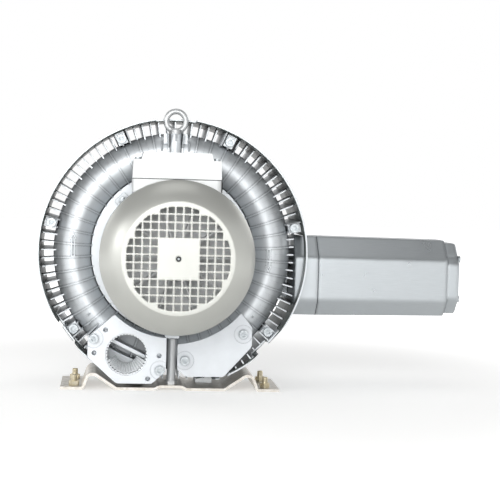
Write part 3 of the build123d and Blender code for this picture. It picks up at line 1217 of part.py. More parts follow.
with BuildPart() as fan_cowl:
    with BuildSketch(SECTION) as shell:
        with BuildLine():
            Line((0, GRILLE_Y), (COWL_DISC_R, GRILLE_Y))
            SagittaArc((COWL_DISC_R, GRILLE_Y), (COWL_R, COWL_SHOULDER_Y), -COWL_BULGE)
            Line((COWL_R, COWL_SHOULDER_Y), (COWL_R, COWL_BACK_Y))
            Line((COWL_R, COWL_BACK_Y), (COWL_R - COWL_WALL, COWL_BACK_Y))
            Line((COWL_R - COWL_WALL, COWL_BACK_Y), (COWL_R - COWL_WALL, COWL_SHOULDER_Y + 1))
            SagittaArc((COWL_R - COWL_WALL, COWL_SHOULDER_Y + 1),
                       (COWL_DISC_R - 1, GRILLE_Y + COWL_WALL), COWL_BULGE)
            Line((COWL_DISC_R - 1, GRILLE_Y + COWL_WALL), (0, GRILLE_Y + COWL_WALL))
            Line((0, GRILLE_Y + COWL_WALL), (0, GRILLE_Y))
        make_face()
    revolve(shell.sketch, axis=MOTOR_AXIS)
    extrude(grille_shape(), amount=COWL_WALL, dir=BACKWARD, mode=Mode.SUBTRACT)
    radial_rods(COWL_SCREW_R + SCREW_PLAY, SHIELD_LUG_R - 2, COWL_R + 1, COWL_SCREW_Y, Mode.SUBTRACT)
keep(fan_cowl, "fan_cowl")

with BuildPart() as cowl_screws:
    seat_r = COWL_R + COWL_SCREW_LIFT
    radial_rods(COWL_SCREW_R, COWL_R - COWL_SCREW_LENGTH, seat_r, COWL_SCREW_Y, Mode.ADD)
    radial_rods(2 * COWL_SCREW_R, seat_r, seat_r + COWL_SCREW_HEAD_T, COWL_SCREW_Y, Mode.ADD)
keep(cowl_screws, "cowl_screws")

# ---------------------------------------------------------------- terminal box
with BuildPart() as terminal_box_base:
    box_slab(BOX_BASE_H, BOX_SEAM_H - GASKET_T, 0, Mode.ADD)
    box_slab(BOX_BASE_H + BOX_WALL, BOX_SEAM_H - GASKET_T, BOX_WALL, Mode.SUBTRACT)
    box_posts(BOX_BASE_H + 1, BOX_SEAM_H - GASKET_T, BOX_POST, Mode.ADD)
    box_posts(BOX_BASE_H + BOX_WALL, BOX_SEAM_H - GASKET_T, None, Mode.SUBTRACT)
    entry_rods(PLUG_R + SCREW_PLAY, BOX_WIDTH / 2 - BOX_WALL, BOX_WIDTH / 2, Mode.SUBTRACT)
keep(terminal_box_base, "terminal_box_base")

with BuildPart() as lid_gasket:
    box_slab(BOX_SEAM_H - GASKET_T, BOX_SEAM_H, GASKET_INSET, Mode.ADD)
    box_slab(BOX_SEAM_H - GASKET_T, BOX_SEAM_H, BOX_WALL, Mode.SUBTRACT)
keep(lid_gasket, "lid_gasket")

with BuildPart() as terminal_box_lid:
    with BuildSketch(at(BOX_FRONT_Y)) as lid_front:
        with BuildLine():
            Polyline((-BOX_WIDTH / 2, BOX_SEAM_H), (BOX_WIDTH / 2, BOX_SEAM_H),
                     (BOX_WIDTH / 2 - LID_DRAFT, BOX_STEP_H), (BOX_CROWN_X + LID_CROWN_SLOPE, BOX_STEP_H),
                     (BOX_CROWN_X, BOX_TOP_H), (-BOX_CROWN_X, BOX_TOP_H),
                     (-BOX_CROWN_X - LID_CROWN_SLOPE, BOX_STEP_H), (-BOX_WIDTH / 2 + LID_DRAFT, BOX_STEP_H),
                     close=True)
        make_face()
    extrude(lid_front.sketch, amount=BOX_DEPTH, dir=BACKWARD)
    box_crown(Mode.SUBTRACT)
    box_posts(BOX_SEAM_H, BOX_STEP_H, None, Mode.SUBTRACT)
keep(terminal_box_lid, "terminal_box_lid")

with BuildPart() as lid_screws:
    box_posts(BOX_STEP_H - BOX_SCREW_LENGTH, BOX_STEP_H, BOX_SCREW_R, Mode.ADD)
    box_posts(BOX_STEP_H, BOX_STEP_H + BOX_SCREW_HEAD_T, SCREW_HEAD_SHARE * BOX_SCREW_R, Mode.ADD)
keep(lid_screws, "lid_screws")

with BuildPart() as terminal_board:
    with BuildSketch(level(BOX_BASE_H + BOX_WALL)) as board:
        with Locations((0, BOX_MIDDLE_Y)):
            Rectangle(BOARD_WIDTH, BOARD_DEPTH)
    extrude(board.sketch, amount=BOARD_T)
keep(terminal_board, "terminal_board")

with BuildPart() as terminal_studs:
    with BuildSketch(level(BOX_BASE_H + BOX_WALL + BOARD_T)) as terminals:
        with Locations((0, BOX_MIDDLE_Y)):
            with GridLocations(TERMINAL_PITCH, TERMINAL_PITCH, 3, 2):
                Circle(TERMINAL_R)
    extrude(terminals.sketch, amount=TERMINAL_LENGTH)
keep(terminal_studs, "terminal_studs")

with BuildPart() as terminal_links:
    with BuildSketch(level(BOX_BASE_H + BOX_WALL + BOARD_T)) as links:
        with Locations((0, BOX_MIDDLE_Y)):
            with GridLocations(TERMINAL_PITCH, TERMINAL_PITCH, 3, 1):
                Rectangle(LINK_WIDTH, TERMINAL_PITCH + LINK_WIDTH)
            with GridLocations(TERMINAL_PITCH, TERMINAL_PITCH, 3, 2):
                Circle(TERMINAL_R + KEY_PLAY, mode=Mode.SUBTRACT)
    extrude(links.sketch, amount=LINK_T)
keep(terminal_links, "terminal_links")

with BuildPart() as cable_entry_plugs:
    entry_rods(PLUG_R, BOX_WIDTH / 2 - BOX_WALL, BOX_WIDTH / 2, Mode.ADD)
    entry_rods(PLUG_R + PLUG_FLANGE, BOX_WIDTH / 2, BOX_WIDTH / 2 + PLUG_T, Mode.ADD)
keep(cable_entry_plugs, "cable_entry_plugs")

# ---------------------------------------------------------------- rotor
with BuildPart() as shaft:
    core_step_y = NDE_BEARING_Y + NDE_BEARING[2] + SHAFT_STEP
    ring(0, SHAFT_FAN_R, SHAFT_FRONT_Y, NDE_BEARING_Y - SHAFT_STEP)
    ring(0, NDE_BEARING[0], NDE_BEARING_Y - SHAFT_STEP, core_step_y)
    ring(0, SHAFT_CORE_R, core_step_y, DE_BEARING_Y)
    ring(0, DE_BEARING[0], DE_BEARING_Y, DE_BEARING_BACK_Y)
    ring(0, SHAFT_DRIVE_R, DE_BEARING_BACK_Y, SHAFT_SHOULDER_Y)
    ring(0, SHAFT_THREAD_R, SHAFT_SHOULDER_Y, SHAFT_SHOULDER_Y + THREAD_LENGTH)
    key_block(0, Mode.SUBTRACT)
    circlip_groove(Mode.SUBTRACT)
keep(shaft, "shaft")

with BuildPart() as rotor_core:
    ring(SHAFT_CORE_R, ROTOR_R, CORE_FRONT_Y, CORE_BACK_Y)
keep(rotor_core, "rotor_core")


def impeller(front_y):
    """An impeller with open radial blades on both sides of a middle web."""
    width = FRONT_WIDTH - 2 * IMPELLER_GAP
    middle_y = front_y + width / 2
    with BuildPart() as wheel:
        plates(BLADE_COUNT, IMPELLER_RIM_R - 1, IMPELLER_R, BLADE_T, front_y, front_y + width)
        ring(IMPELLER_RIM_R - IMPELLER_RIM_WALL, IMPELLER_RIM_R, front_y, front_y + width)
        ring(IMPELLER_RIM_R - JOIN, BLADE_RING_R, middle_y - BLADE_RING_T / 2, middle_y + BLADE_RING_T / 2)
        ring(IMPELLER_HUB_R - JOIN, IMPELLER_RIM_R - JOIN, middle_y - IMPELLER_WEB_T / 2,
             middle_y + IMPELLER_WEB_T / 2)
        ring(SHAFT_DRIVE_R, IMPELLER_HUB_R, front_y, front_y + width)
        key_block(KEY_PLAY, Mode.SUBTRACT)
    return wheel


stage_1_impeller = impeller(IMPELLER_GAP)
keep(stage_1_impeller, "stage_1_impeller")
stage_2_impeller = impeller(PARTING_2_Y + IMPELLER_GAP)
keep(stage_2_impeller, "stage_2_impeller")

with BuildPart() as impeller_spacer:
    ring(SHAFT_DRIVE_R, SPACER_R, PARTING_1_Y - IMPELLER_GAP, PARTING_2_Y + IMPELLER_GAP)
    key_block(KEY_PLAY, Mode.SUBTRACT)
keep(impeller_spacer, "impeller_spacer")

with BuildPart() as impeller_key:
    key_block(0, Mode.ADD)
keep(impeller_key, "impeller_key")

with BuildPart() as impeller_nut:
    with BuildSketch(at(SHAFT_SHOULDER_Y)) as hexagon:
        RegularPolygon(NUT_R, 6)
        Circle(SHAFT_THREAD_R, mode=Mode.SUBTRACT)
    extrude(hexagon.sketch, amount=THREAD_LENGTH - NUT_END_GAP, dir=BACKWARD)
keep(impeller_nut, "impeller_nut")

with BuildPart() as cooling_fan:
    plates(FAN_BLADE_COUNT, FAN_HUB_R - 1, FAN_R, FAN_BLADE_T, FAN_FRONT_Y, FAN_PLATE_Y)
    ring(FAN_HUB_R - JOIN, FAN_R, FAN_PLATE_Y - FAN_PLATE_T / 2, FAN_PLATE_Y + FAN_PLATE_T / 2)
    ring(SHAFT_FAN_R, FAN_HUB_R, FAN_FRONT_Y, FAN_FRONT_Y + FAN_HUB_WIDTH)
keep(cooling_fan, "cooling_fan")

with BuildPart() as fan_circlip:
    circlip_groove(Mode.ADD)
keep(fan_circlip, "fan_circlip")
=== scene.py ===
"""Looks of a two-stage side channel blower: studio, finishes and the pieces that sit on its castings."""
from math import atan2, cos, pi, radians, sin

import bpy
from bpy.props import FloatProperty, FloatVectorProperty, IntProperty, PointerProperty
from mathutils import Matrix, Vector


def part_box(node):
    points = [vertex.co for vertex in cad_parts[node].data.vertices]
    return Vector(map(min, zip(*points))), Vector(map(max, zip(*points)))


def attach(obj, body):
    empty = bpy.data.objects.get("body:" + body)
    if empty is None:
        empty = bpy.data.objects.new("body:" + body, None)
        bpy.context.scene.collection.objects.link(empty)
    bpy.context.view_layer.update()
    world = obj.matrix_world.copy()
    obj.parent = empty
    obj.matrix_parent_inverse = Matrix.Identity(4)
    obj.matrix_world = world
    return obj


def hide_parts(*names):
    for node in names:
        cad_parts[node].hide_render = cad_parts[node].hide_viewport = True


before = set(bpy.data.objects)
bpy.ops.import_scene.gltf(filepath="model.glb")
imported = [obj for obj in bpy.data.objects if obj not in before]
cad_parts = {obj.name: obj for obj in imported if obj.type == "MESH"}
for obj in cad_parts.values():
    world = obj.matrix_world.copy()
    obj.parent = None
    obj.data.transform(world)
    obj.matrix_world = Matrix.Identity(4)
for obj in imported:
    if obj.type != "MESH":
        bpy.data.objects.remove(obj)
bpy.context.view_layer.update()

bl_info = {
    "name": "Side channel blower",
    "version": (1, 0, 0),
    "blender": (4, 5, 0),
    "location": "View3D > Sidebar > Blower",
    "description": "Finishes and small pieces for a side channel blower, in a plain studio",
    "category": "Object",
}

MM = 0.001

# places on the blower that the pieces share, read from the frame
COWL_LOW, COWL_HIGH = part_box("fan_cowl")
AXIS_X = (COWL_LOW.x + COWL_HIGH.x) / 2
AXIS_Z = (COWL_LOW.z + COWL_HIGH.z) / 2

# the ring-shaped channel: from the axis to the middle of its tube, in millimetres
CHANNEL_R = 142.5

# vertices nearer than this are one
SAME_PLACE = 0.001 * MM

# a turn that stands a primitive's own axis along Y
ALONG_Y = (pi / 2, 0, 0)


def linear(hex_colour):
    """An sRGB hex colour as linear red, green, blue and alpha."""
    parts = [int(hex_colour[i:i + 2], 16) / 255 for i in (1, 3, 5)]
    return (*[c / 12.92 if c <= 0.04045 else ((c + 0.055) / 1.055) ** 2.4 for c in parts], 1.0)


# ---------------------------------------------------------------- sizes and colours a user would change
class BlowerStudio(bpy.types.PropertyGroup):
    """The lamps, the room and the camera."""
    key_power: FloatProperty(name="Key lamp", description="Power of the large lamp behind the camera",
                             default=50.0, min=0.0, unit="POWER")
    top_power: FloatProperty(name="Top lamp", description="Power of the lamp above the blower",
                             default=5.0, min=0.0, unit="POWER")
    left_power: FloatProperty(name="Left lamp", description="Power of the lamp at the fan end's left",
                              default=16.0, min=0.0, unit="POWER")
    back_power: FloatProperty(name="Back lamps", description="Power of each lamp behind the blower",
                              default=10.0, min=0.0, unit="POWER")
    room_light: FloatProperty(name="Room light", description="Strength of the even light of the room",
                              default=0.34, min=0.0)
    lens: FloatProperty(name="Lens", description="Focal length of the camera",
                        default=100.8, min=1.0, unit="CAMERA")


class BlowerFinish(bpy.types.PropertyGroup):
    """The colours of the finishes."""
    casting: FloatVectorProperty(name="Castings", description="Blasted cast aluminium", size=4,
                                 subtype="COLOR", min=0.0, max=1.0, default=linear("#D3D7DA"))
    cowl: FloatVectorProperty(name="Fan cowl", description="Warm grey paint", size=4,
                              subtype="COLOR", min=0.0, max=1.0, default=linear("#BBBCB7"))
    box: FloatVectorProperty(name="Terminal box", description="Pale silver paint", size=4,
                             subtype="COLOR", min=0.0, max=1.0, default=linear("#ECEEEE"))
    silencer: FloatVectorProperty(name="Silencer", description="Extruded aluminium", size=4,
                                  subtype="COLOR", min=0.0, max=1.0, default=linear("#B4B9BC"))


class BlowerDetail(bpy.types.PropertyGroup):
    """The sizes of the pieces added to the castings."""
    arrow_line: FloatProperty(name="Arrow line", description="Width of the raised line of a rotation arrow",
                              default=1.3 * MM, min=0.0, unit="LENGTH")
    arrow_rise: FloatProperty(name="Arrow rise", description="Height of the raised line above the channel",
                              default=2.6 * MM, min=0.0, unit="LENGTH")
    stud_pitch: FloatProperty(name="Stud pitch", description="Thread pitch of the floor studs",
                              default=1.25 * MM, min=0.0, unit="LENGTH")
    port_pitch: FloatProperty(name="Port pitch", description="Thread pitch of the outlet port",
                              default=2.3 * MM, min=0.0, unit="LENGTH")
    thread_steps: IntProperty(name="Thread steps", description="Straight runs in one turn of a thread",
                              default=32, min=8)


# ---------------------------------------------------------------- materials
def add(tree, kind, sockets=None, **properties):
    """Add a node with its properties, and set or feed its sockets, named or numbered."""
    node = tree.nodes.new(kind)
    for name, value in properties.items():
        setattr(node, name, value)
    for name, value in (sockets or {}).items():
        if isinstance(value, bpy.types.NodeSocket):
            tree.links.new(value, node.inputs[name])
        else:
            node.inputs[name].default_value = value
    return node


def new_material(name, shader):
    """A material with an empty tree, its Principled shader, and the place on the piece in metres."""
    material = bpy.data.materials.new(name)
    material.use_nodes = True
    tree = material.node_tree
    tree.nodes.clear()
    principled = add(tree, "ShaderNodeBsdfPrincipled", shader)
    add(tree, "ShaderNodeOutputMaterial", {"Surface": principled.outputs["BSDF"]})
    place = add(tree, "ShaderNodeTexCoord").outputs["Object"]
    return material, tree, principled, place


def noise(tree, place, size_mm, detail=2.0, roughness=0.5, stretch=None):
    """Smooth noise whose grain has a real size in millimetres, and may be stretched along an axis."""
    if stretch:
        place = add(tree, "ShaderNodeMapping", {"Vector": place, "Scale": stretch}).outputs["Vector"]
    return add(tree, "ShaderNodeTexNoise", {"Vector": place, "Scale": 1 / (size_mm * MM), "Detail": detail,
                                            "Roughness": roughness}).outputs["Fac"]


def between(tree, factor, low, high):
    """Spread a factor around its middle over a range of values."""
    return add(tree, "ShaderNodeMapRange", {"Value": factor, "From Min": 0.3, "From Max": 0.7,
                                            "To Min": low, "To Max": high}).outputs["Result"]


def tinted(tree, principled, factor, colour, light, dark):
    """Vary a colour between a darker and a lighter share of itself."""
    shades = [tuple(min(1.0, c * share) for c in colour[:3]) + (1.0,) for share in (dark, light)]
    mix = add(tree, "ShaderNodeMix", {"Factor": factor}, data_type="RGBA")
    # the colour sockets of a Mix node come after its float and vector ones
    mix.inputs[6].default_value, mix.inputs[7].default_value = shades
    tree.links.new(mix.outputs[2], principled.inputs["Base Color"])
    return mix.outputs[2]


def roughened(tree, principled, factor, start, end):
    """Vary the roughness with a factor."""
    tree.links.new(between(tree, factor, start, end), principled.inputs["Roughness"])


def soft_edges(tree, principled, height, depth_mm, round_mm=0.5):
    """Bump from a height, over edges that are rounded by a radius."""
    edge = add(tree, "ShaderNodeBevel", {"Radius": round_mm * MM}, samples=4)
    bump = add(tree, "ShaderNodeBump", {"Height": height, "Distance": depth_mm * MM, "Strength": 1.0,
                                        "Normal": edge.outputs["Normal"]})
    tree.links.new(bump.outputs["Normal"], principled.inputs["Normal"])


def mixed(tree, factor, shade, colour, **properties):
    """Mix a shade of the tree with a plain colour."""
    mix = add(tree, "ShaderNodeMix", {"Factor": factor}, data_type="RGBA", **properties)
    tree.links.new(shade, mix.inputs[6])
    mix.inputs[7].default_value = linear(colour)
    return mix.outputs[2]


def painted_crevice_shade(tree, shade, distance_mm=3.0, strength=0.85):
    """Darken a colour in corners and at the foot of ribs, where the surface is closed in: painted shade."""
    open_air = add(tree, "ShaderNodeAmbientOcclusion", {"Distance": distance_mm * MM}, samples=4)
    factor = add(tree, "ShaderNodeMapRange", {"Value": open_air.outputs["AO"], "From Min": 0.25,
                                              "From Max": 0.85, "To Min": strength, "To Max": 0.0})
    # painted shade: a dark grey is multiplied in where little open air is around the surface
    return mixed(tree, factor.outputs["Result"], shade, "#4C5359", blend_type="MULTIPLY")


def open_joint(tree, place, shade, x):
    """A thin dark line where two housings meet across X."""
    across = add(tree, "ShaderNodeSeparateXYZ", {0: place}).outputs["X"]
    half_width = 0.55 * MM
    line = add(tree, "ShaderNodeMath", {0: across, 1: x, 2: half_width}, operation="COMPARE")
    return mixed(tree, line.outputs["Value"], shade, "#585D61")


def cast_metal(name, colour, roughness, grain_mm=1.4, depth_mm=0.05, metallic=0.35,
               painted_shroud_shade=None, round_mm=0.5, joint_x=None):
    """Sand-blasted cast aluminium: a fine pebbled skin, clouds of tone, painted shade in crevices, rounded
    edges.
    """
    material, tree, principled, place = new_material(name, {"Metallic": metallic})
    grain = noise(tree, place, grain_mm, detail=4.0, roughness=0.6)
    clouds = noise(tree, place, 22.0, detail=3.0)
    shade = tinted(tree, principled, between(tree, clouds, 0.0, 1.0), colour, 1.03, 0.94)
    if painted_shroud_shade:
        # painted shade: inside its shroud, where the wall lies in the fins' shadow, the casting is painted
        # dark in a band round the axis
        at = add(tree, "ShaderNodeSeparateXYZ", {0: place}).outputs
        up = add(tree, "ShaderNodeMath", {0: at["Z"], 1: AXIS_Z}, operation="SUBTRACT").outputs["Value"]
        flat = add(tree, "ShaderNodeCombineXYZ", {"X": at["X"], "Z": up}).outputs["Vector"]
        radius = add(tree, "ShaderNodeVectorMath", {0: flat}, operation="LENGTH").outputs["Value"]
        band_r, half_width = painted_shroud_shade
        band = add(tree, "ShaderNodeMath", {0: radius, 1: band_r * MM, 2: half_width * MM},
                   operation="COMPARE")
        shade = mixed(tree, band.outputs["Value"], shade, "#4C5351")
    if joint_x:
        shade = open_joint(tree, place, shade, joint_x)
    # painted shade darkens the colour in crevices and at the foot of ribs
    tree.links.new(painted_crevice_shade(tree, shade), principled.inputs["Base Color"])
    roughened(tree, principled, clouds, roughness - 0.05, roughness + 0.06)
    soft_edges(tree, principled, grain, depth_mm, round_mm)
    return material


def sheet_paint(name, colour, roughness, metallic, round_mm=0.9):
    """Powder paint on pressed steel: a slight orange peel and an even satin gloss."""
    coat = {"Coat Weight": 0.12, "Coat Roughness": 0.3}
    material, tree, principled, place = new_material(name, {"Metallic": metallic, **coat})
    peel = noise(tree, place, 2.4, detail=1.0)
    clouds = noise(tree, place, 45.0, detail=2.0)
    tinted(tree, principled, between(tree, clouds, 0.0, 1.0), colour, 1.02, 0.97)
    roughened(tree, principled, peel, roughness - 0.03, roughness + 0.04)
    soft_edges(tree, principled, peel, 0.03, round_mm)
    return material


def drawn_metal(name, colour, roughness, stretch, line_mm=0.7, depth_mm=0.02, metallic=0.9,
                round_mm=0.5, joint_x=None):
    """Extruded, ground or turned metal: fine lines that follow the way it was worked."""
    material, tree, principled, place = new_material(name, {"Metallic": metallic})
    lines = noise(tree, place, line_mm, detail=3.0, roughness=0.6, stretch=stretch)
    clouds = noise(tree, place, 30.0, detail=2.0)
    shade = tinted(tree, principled, between(tree, lines, 0.0, 1.0), colour, 1.04, 0.95)
    if joint_x:
        tree.links.new(open_joint(tree, place, shade, joint_x), principled.inputs["Base Color"])
    roughened(tree, principled, clouds, roughness - 0.05, roughness + 0.05)
    soft_edges(tree, principled, lines, depth_mm, round_mm)
    return material


def plated_metal(name, colour, roughness, tarnish, spot_mm=5.0):
    """Plated steel: a bright skin with cloudy spots where the plating has dulled."""
    material, tree, principled, place = new_material(name, {"Metallic": 1.0})
    spots = noise(tree, place, spot_mm, detail=4.0, roughness=0.65)
    fine = noise(tree, place, 0.9, detail=2.0)
    shade = add(tree, "ShaderNodeMix", {"Factor": between(tree, spots, 0.0, 1.0)}, data_type="RGBA")
    shade.inputs[6].default_value, shade.inputs[7].default_value = tarnish, colour
    tree.links.new(shade.outputs[2], principled.inputs["Base Color"])
    roughened(tree, principled, spots, roughness + 0.14, roughness)
    soft_edges(tree, principled, fine, 0.02, 0.35)
    return material


def moulded(name, colour, roughness, grain_mm=0.8, depth_mm=0.03):
    """Moulded plastic, rubber or pressed fibre: a fine grained skin without shine."""
    material, tree, principled, place = new_material(name, {"Metallic": 0.0})
    grain = noise(tree, place, grain_mm, detail=3.0)
    tinted(tree, principled, grain, colour, 1.15, 0.85)
    roughened(tree, principled, grain, roughness - 0.06, roughness + 0.06)
    soft_edges(tree, principled, grain, depth_mm, 0.4)
    return material


def open_cells(name, colour, cell_mm=2.0):
    """Reticulated foam: round dark cells in a soft grey web."""
    material, tree, principled, place = new_material(name, {"Metallic": 0.0, "Roughness": 0.95})
    cells = add(tree, "ShaderNodeTexVoronoi",
                {"Vector": place, "Scale": 1 / (cell_mm * MM)}).outputs["Distance"]
    tinted(tree, principled, cells, colour, 1.4, 0.5)
    soft_edges(tree, principled, cells, 0.8, 0.3)
    return material


def banded(name, colour, metallic, roughness, pitch_mm, axis, depth_mm):
    """Stacked laminations or laid wire: even bands across one axis, with a groove between them."""
    material, tree, principled, place = new_material(name, {"Metallic": metallic, "Roughness": roughness})
    # a wave of scale 1 repeats every 2 pi / 20 of a unit
    bands = add(tree, "ShaderNodeTexWave", {"Vector": place, "Scale": 2 * pi / 20 / (pitch_mm * MM),
                                            "Distortion": 0.4}, bands_direction=axis).outputs["Fac"]
    tinted(tree, principled, bands, colour, 1.1, 0.6)
    soft_edges(tree, principled, bands, depth_mm, 0.3)
    return material


def perforated(name, colour, pitch_mm=5.0, hole_share=0.32):
    """Perforated galvanised tube: rows of dark round holes in grey sheet."""
    material, tree, principled, place = new_material(name, {"Metallic": 0.9, "Roughness": 0.4})
    holes = add(tree, "ShaderNodeTexVoronoi", {"Vector": place, "Scale": 1 / (pitch_mm * MM),
                                               "Randomness": 0.0})
    sheet = add(tree, "ShaderNodeMath", {0: holes.outputs["Distance"], 1: hole_share},
                operation="GREATER_THAN")
    tinted(tree, principled, sheet.outputs["Value"], colour, 1.0, 0.04)
    soft_edges(tree, principled, sheet.outputs["Value"], 0.6, 0.2)
    return material


def finishes(colours):
    """The material for each of the record's slots."""
    along_x, along_y, along_z = (0.04, 1.0, 1.0), (1.0, 0.04, 1.0), (1.0, 1.0, 0.05)
    # the silencer's edges are drawn this round, and its housings meet here
    bevel, joint = 7.0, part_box("silencer_body")[0].x
    return {
        # blasted castings: bright where they face the light, with painted shade in their crevices
        "cast_aluminium": cast_metal("BlastedCastAluminium", colours.casting, 0.48),
        # the shroud's inner wall gets a band of painted shade
        "shroud_casting": cast_metal("BlastedCastAluminiumShroud", colours.casting, 0.42, metallic=0.5,
                                     painted_shroud_shade=(187.6, 1.2)),
        "flange_casting": cast_metal("MachinedCastAluminium", linear("#E6EAEE"), 0.44, 1.0, 0.03, 0.3),
        "silencer_casting": cast_metal("FineCastAluminium", colours.silencer, 0.34, 0.9, 0.02, 0.8,
                                       round_mm=bevel, joint_x=joint),
        "impeller_aluminium": cast_metal("PressureCastAluminium", linear("#B5B9BC"), 0.42, 0.8, 0.03),
        # drawn surfaces: soft streaks along the work
        "silencer_extrusion": drawn_metal("ExtrudedAluminium", colours.silencer, 0.32, along_x,
                                          metallic=0.8, round_mm=bevel, joint_x=joint),
        "liner_aluminium": drawn_metal("TurnedAluminium", linear("#E6E9EB"), 0.40, along_y,
                                       metallic=0.25),
        "pillar_steel": drawn_metal("GroundSteelBar", linear("#BFC1C2"), 0.38, along_z, metallic=0.55),
        "shaft_steel": drawn_metal("TurnedSteel", linear("#A9ABAD"), 0.28, along_y),
        "bearing_steel": drawn_metal("PolishedBearingSteel", linear("#C8C9CB"), 0.14, along_y, 0.4, 0.004),
        # powder paint: even and satin
        "cowl_paint": sheet_paint("WarmGreyPowderPaint", colours.cowl, 0.36, 0.6, round_mm=3.0),
        "box_paint": sheet_paint("PaleSilverPaint", colours.box, 0.5, 0.2),
        # plated fasteners and sheet: a bright skin with duller clouds
        "zinc_steel": plated_metal("ZincPlatedSteel", linear("#C6CACC"), 0.40, linear("#9DA4A8"), 3.0),
        "yellow_zinc": plated_metal("YellowZincPlatedSteel", linear("#E8E0CB"), 0.32, linear("#B9AC8A"),
                                    4.0),
        "bracket_steel": plated_metal("GalvanisedSheetSteel", linear("#DCD9D4"), 0.36, linear("#BCB6AC"),
                                      7.0),
        "terminal_brass": plated_metal("TurnedBrass", linear("#D9B873"), 0.25, linear("#B08D4B"), 4.0),
        # moulded and pressed parts: matt, with a fine grain
        "black_plastic": moulded("BlackMouldedPlastic", linear("#2B2C2D"), 0.5),
        "grey_plastic": moulded("GreyMouldedPlastic", linear("#E4E5E6"), 0.5),
        "seal_rubber": moulded("MouldedRubber", linear("#232425"), 0.65),
        "gasket_fibre": moulded("PressedFibreGasket", linear("#4A4F4C"), 0.8, 1.2, 0.06),
        "foam": open_cells("OpenCellFoam", linear("#3A3A3C")),
        "perforated_tube": perforated("PerforatedGalvanisedTube", linear("#A5A8AA")),
        # motor inside: thin sheets seen on edge, and varnished wire
        "core_steel": banded("LaminatedCoreSteel", linear("#77777A"), 0.8, 0.45, 1.0, "Y", 0.1),
        "winding_copper": banded("VarnishedCopperWire", linear("#B4703A"), 0.5, 0.3, 1.6, "Y", 0.3),
    }


# nodes that wear another finish than most of their slot
OWN_FINISH = {"inlet_flange": "flange_casting", "blank_flange": "flange_casting",
              "front_casing": "shroud_casting", "middle_casing": "shroud_casting",
              "cover_casing": "shroud_casting", "cooling_fan": "grey_plastic", "lid_gasket": "gasket_fibre"}


# ---------------------------------------------------------------- modelling helpers
def deselect():
    """Leave edit mode and select nothing."""
    if bpy.context.object and bpy.context.object.mode != "OBJECT":
        bpy.ops.object.mode_set(mode="OBJECT")
    bpy.ops.object.select_all(action="DESELECT")


def started(name):
    """Name the primitive that was just added."""
    piece = bpy.context.object
    piece.name = piece.data.name = name
    return piece


def choose(piece, test, kind="FACE"):
    """In edit mode, select the faces, edges or vertices whose centre passes a test."""
    bpy.ops.object.mode_set(mode="EDIT")
    bpy.ops.mesh.select_mode(type=kind)
    bpy.ops.mesh.select_all(action="DESELECT")
    bpy.ops.object.mode_set(mode="OBJECT")
    mesh, matrix = piece.data, piece.matrix_world
    items = {"FACE": mesh.polygons, "EDGE": mesh.edges, "VERT": mesh.vertices}[kind]
    for item in items:
        corners = [item.co] if kind == "VERT" else [mesh.vertices[v].co for v in item.vertices]
        item.select = bool(test(matrix @ (sum(corners, Vector()) / len(corners))))
    bpy.ops.object.mode_set(mode="EDIT")


def settle(piece):
    """Put the piece's place into its mesh."""
    deselect()
    piece.select_set(True)
    bpy.context.view_layer.objects.active = piece
    bpy.ops.object.transform_apply(location=True, rotation=True, scale=True)


def edit_all(piece):
    """In edit mode, select all of a piece."""
    bpy.context.view_layer.objects.active = piece
    bpy.ops.object.mode_set(mode="EDIT")
    bpy.ops.mesh.select_all(action="SELECT")


def turned_outward():
    """In edit mode, turn every face outward, and leave edit mode."""
    bpy.ops.mesh.select_all(action="SELECT")
    bpy.ops.mesh.normals_make_consistent(inside=False)
    bpy.ops.object.mode_set(mode="OBJECT")


def modified(piece, kind, **settings):
    """Add a modifier and apply it."""
    bpy.context.view_layer.objects.active = piece
    modifier = piece.modifiers.new(kind.title(), kind)
    for name, value in settings.items():
        setattr(modifier, name, value)
    bpy.ops.object.modifier_apply(modifier=modifier.name)


def finished(piece, material, body):
    """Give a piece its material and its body."""
    piece.data.materials.clear()
    piece.data.materials.append(material)
    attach(piece, body)


def material_of(node):
    """The material that a CAD node wears now."""
    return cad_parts[node].material_slots[0].material


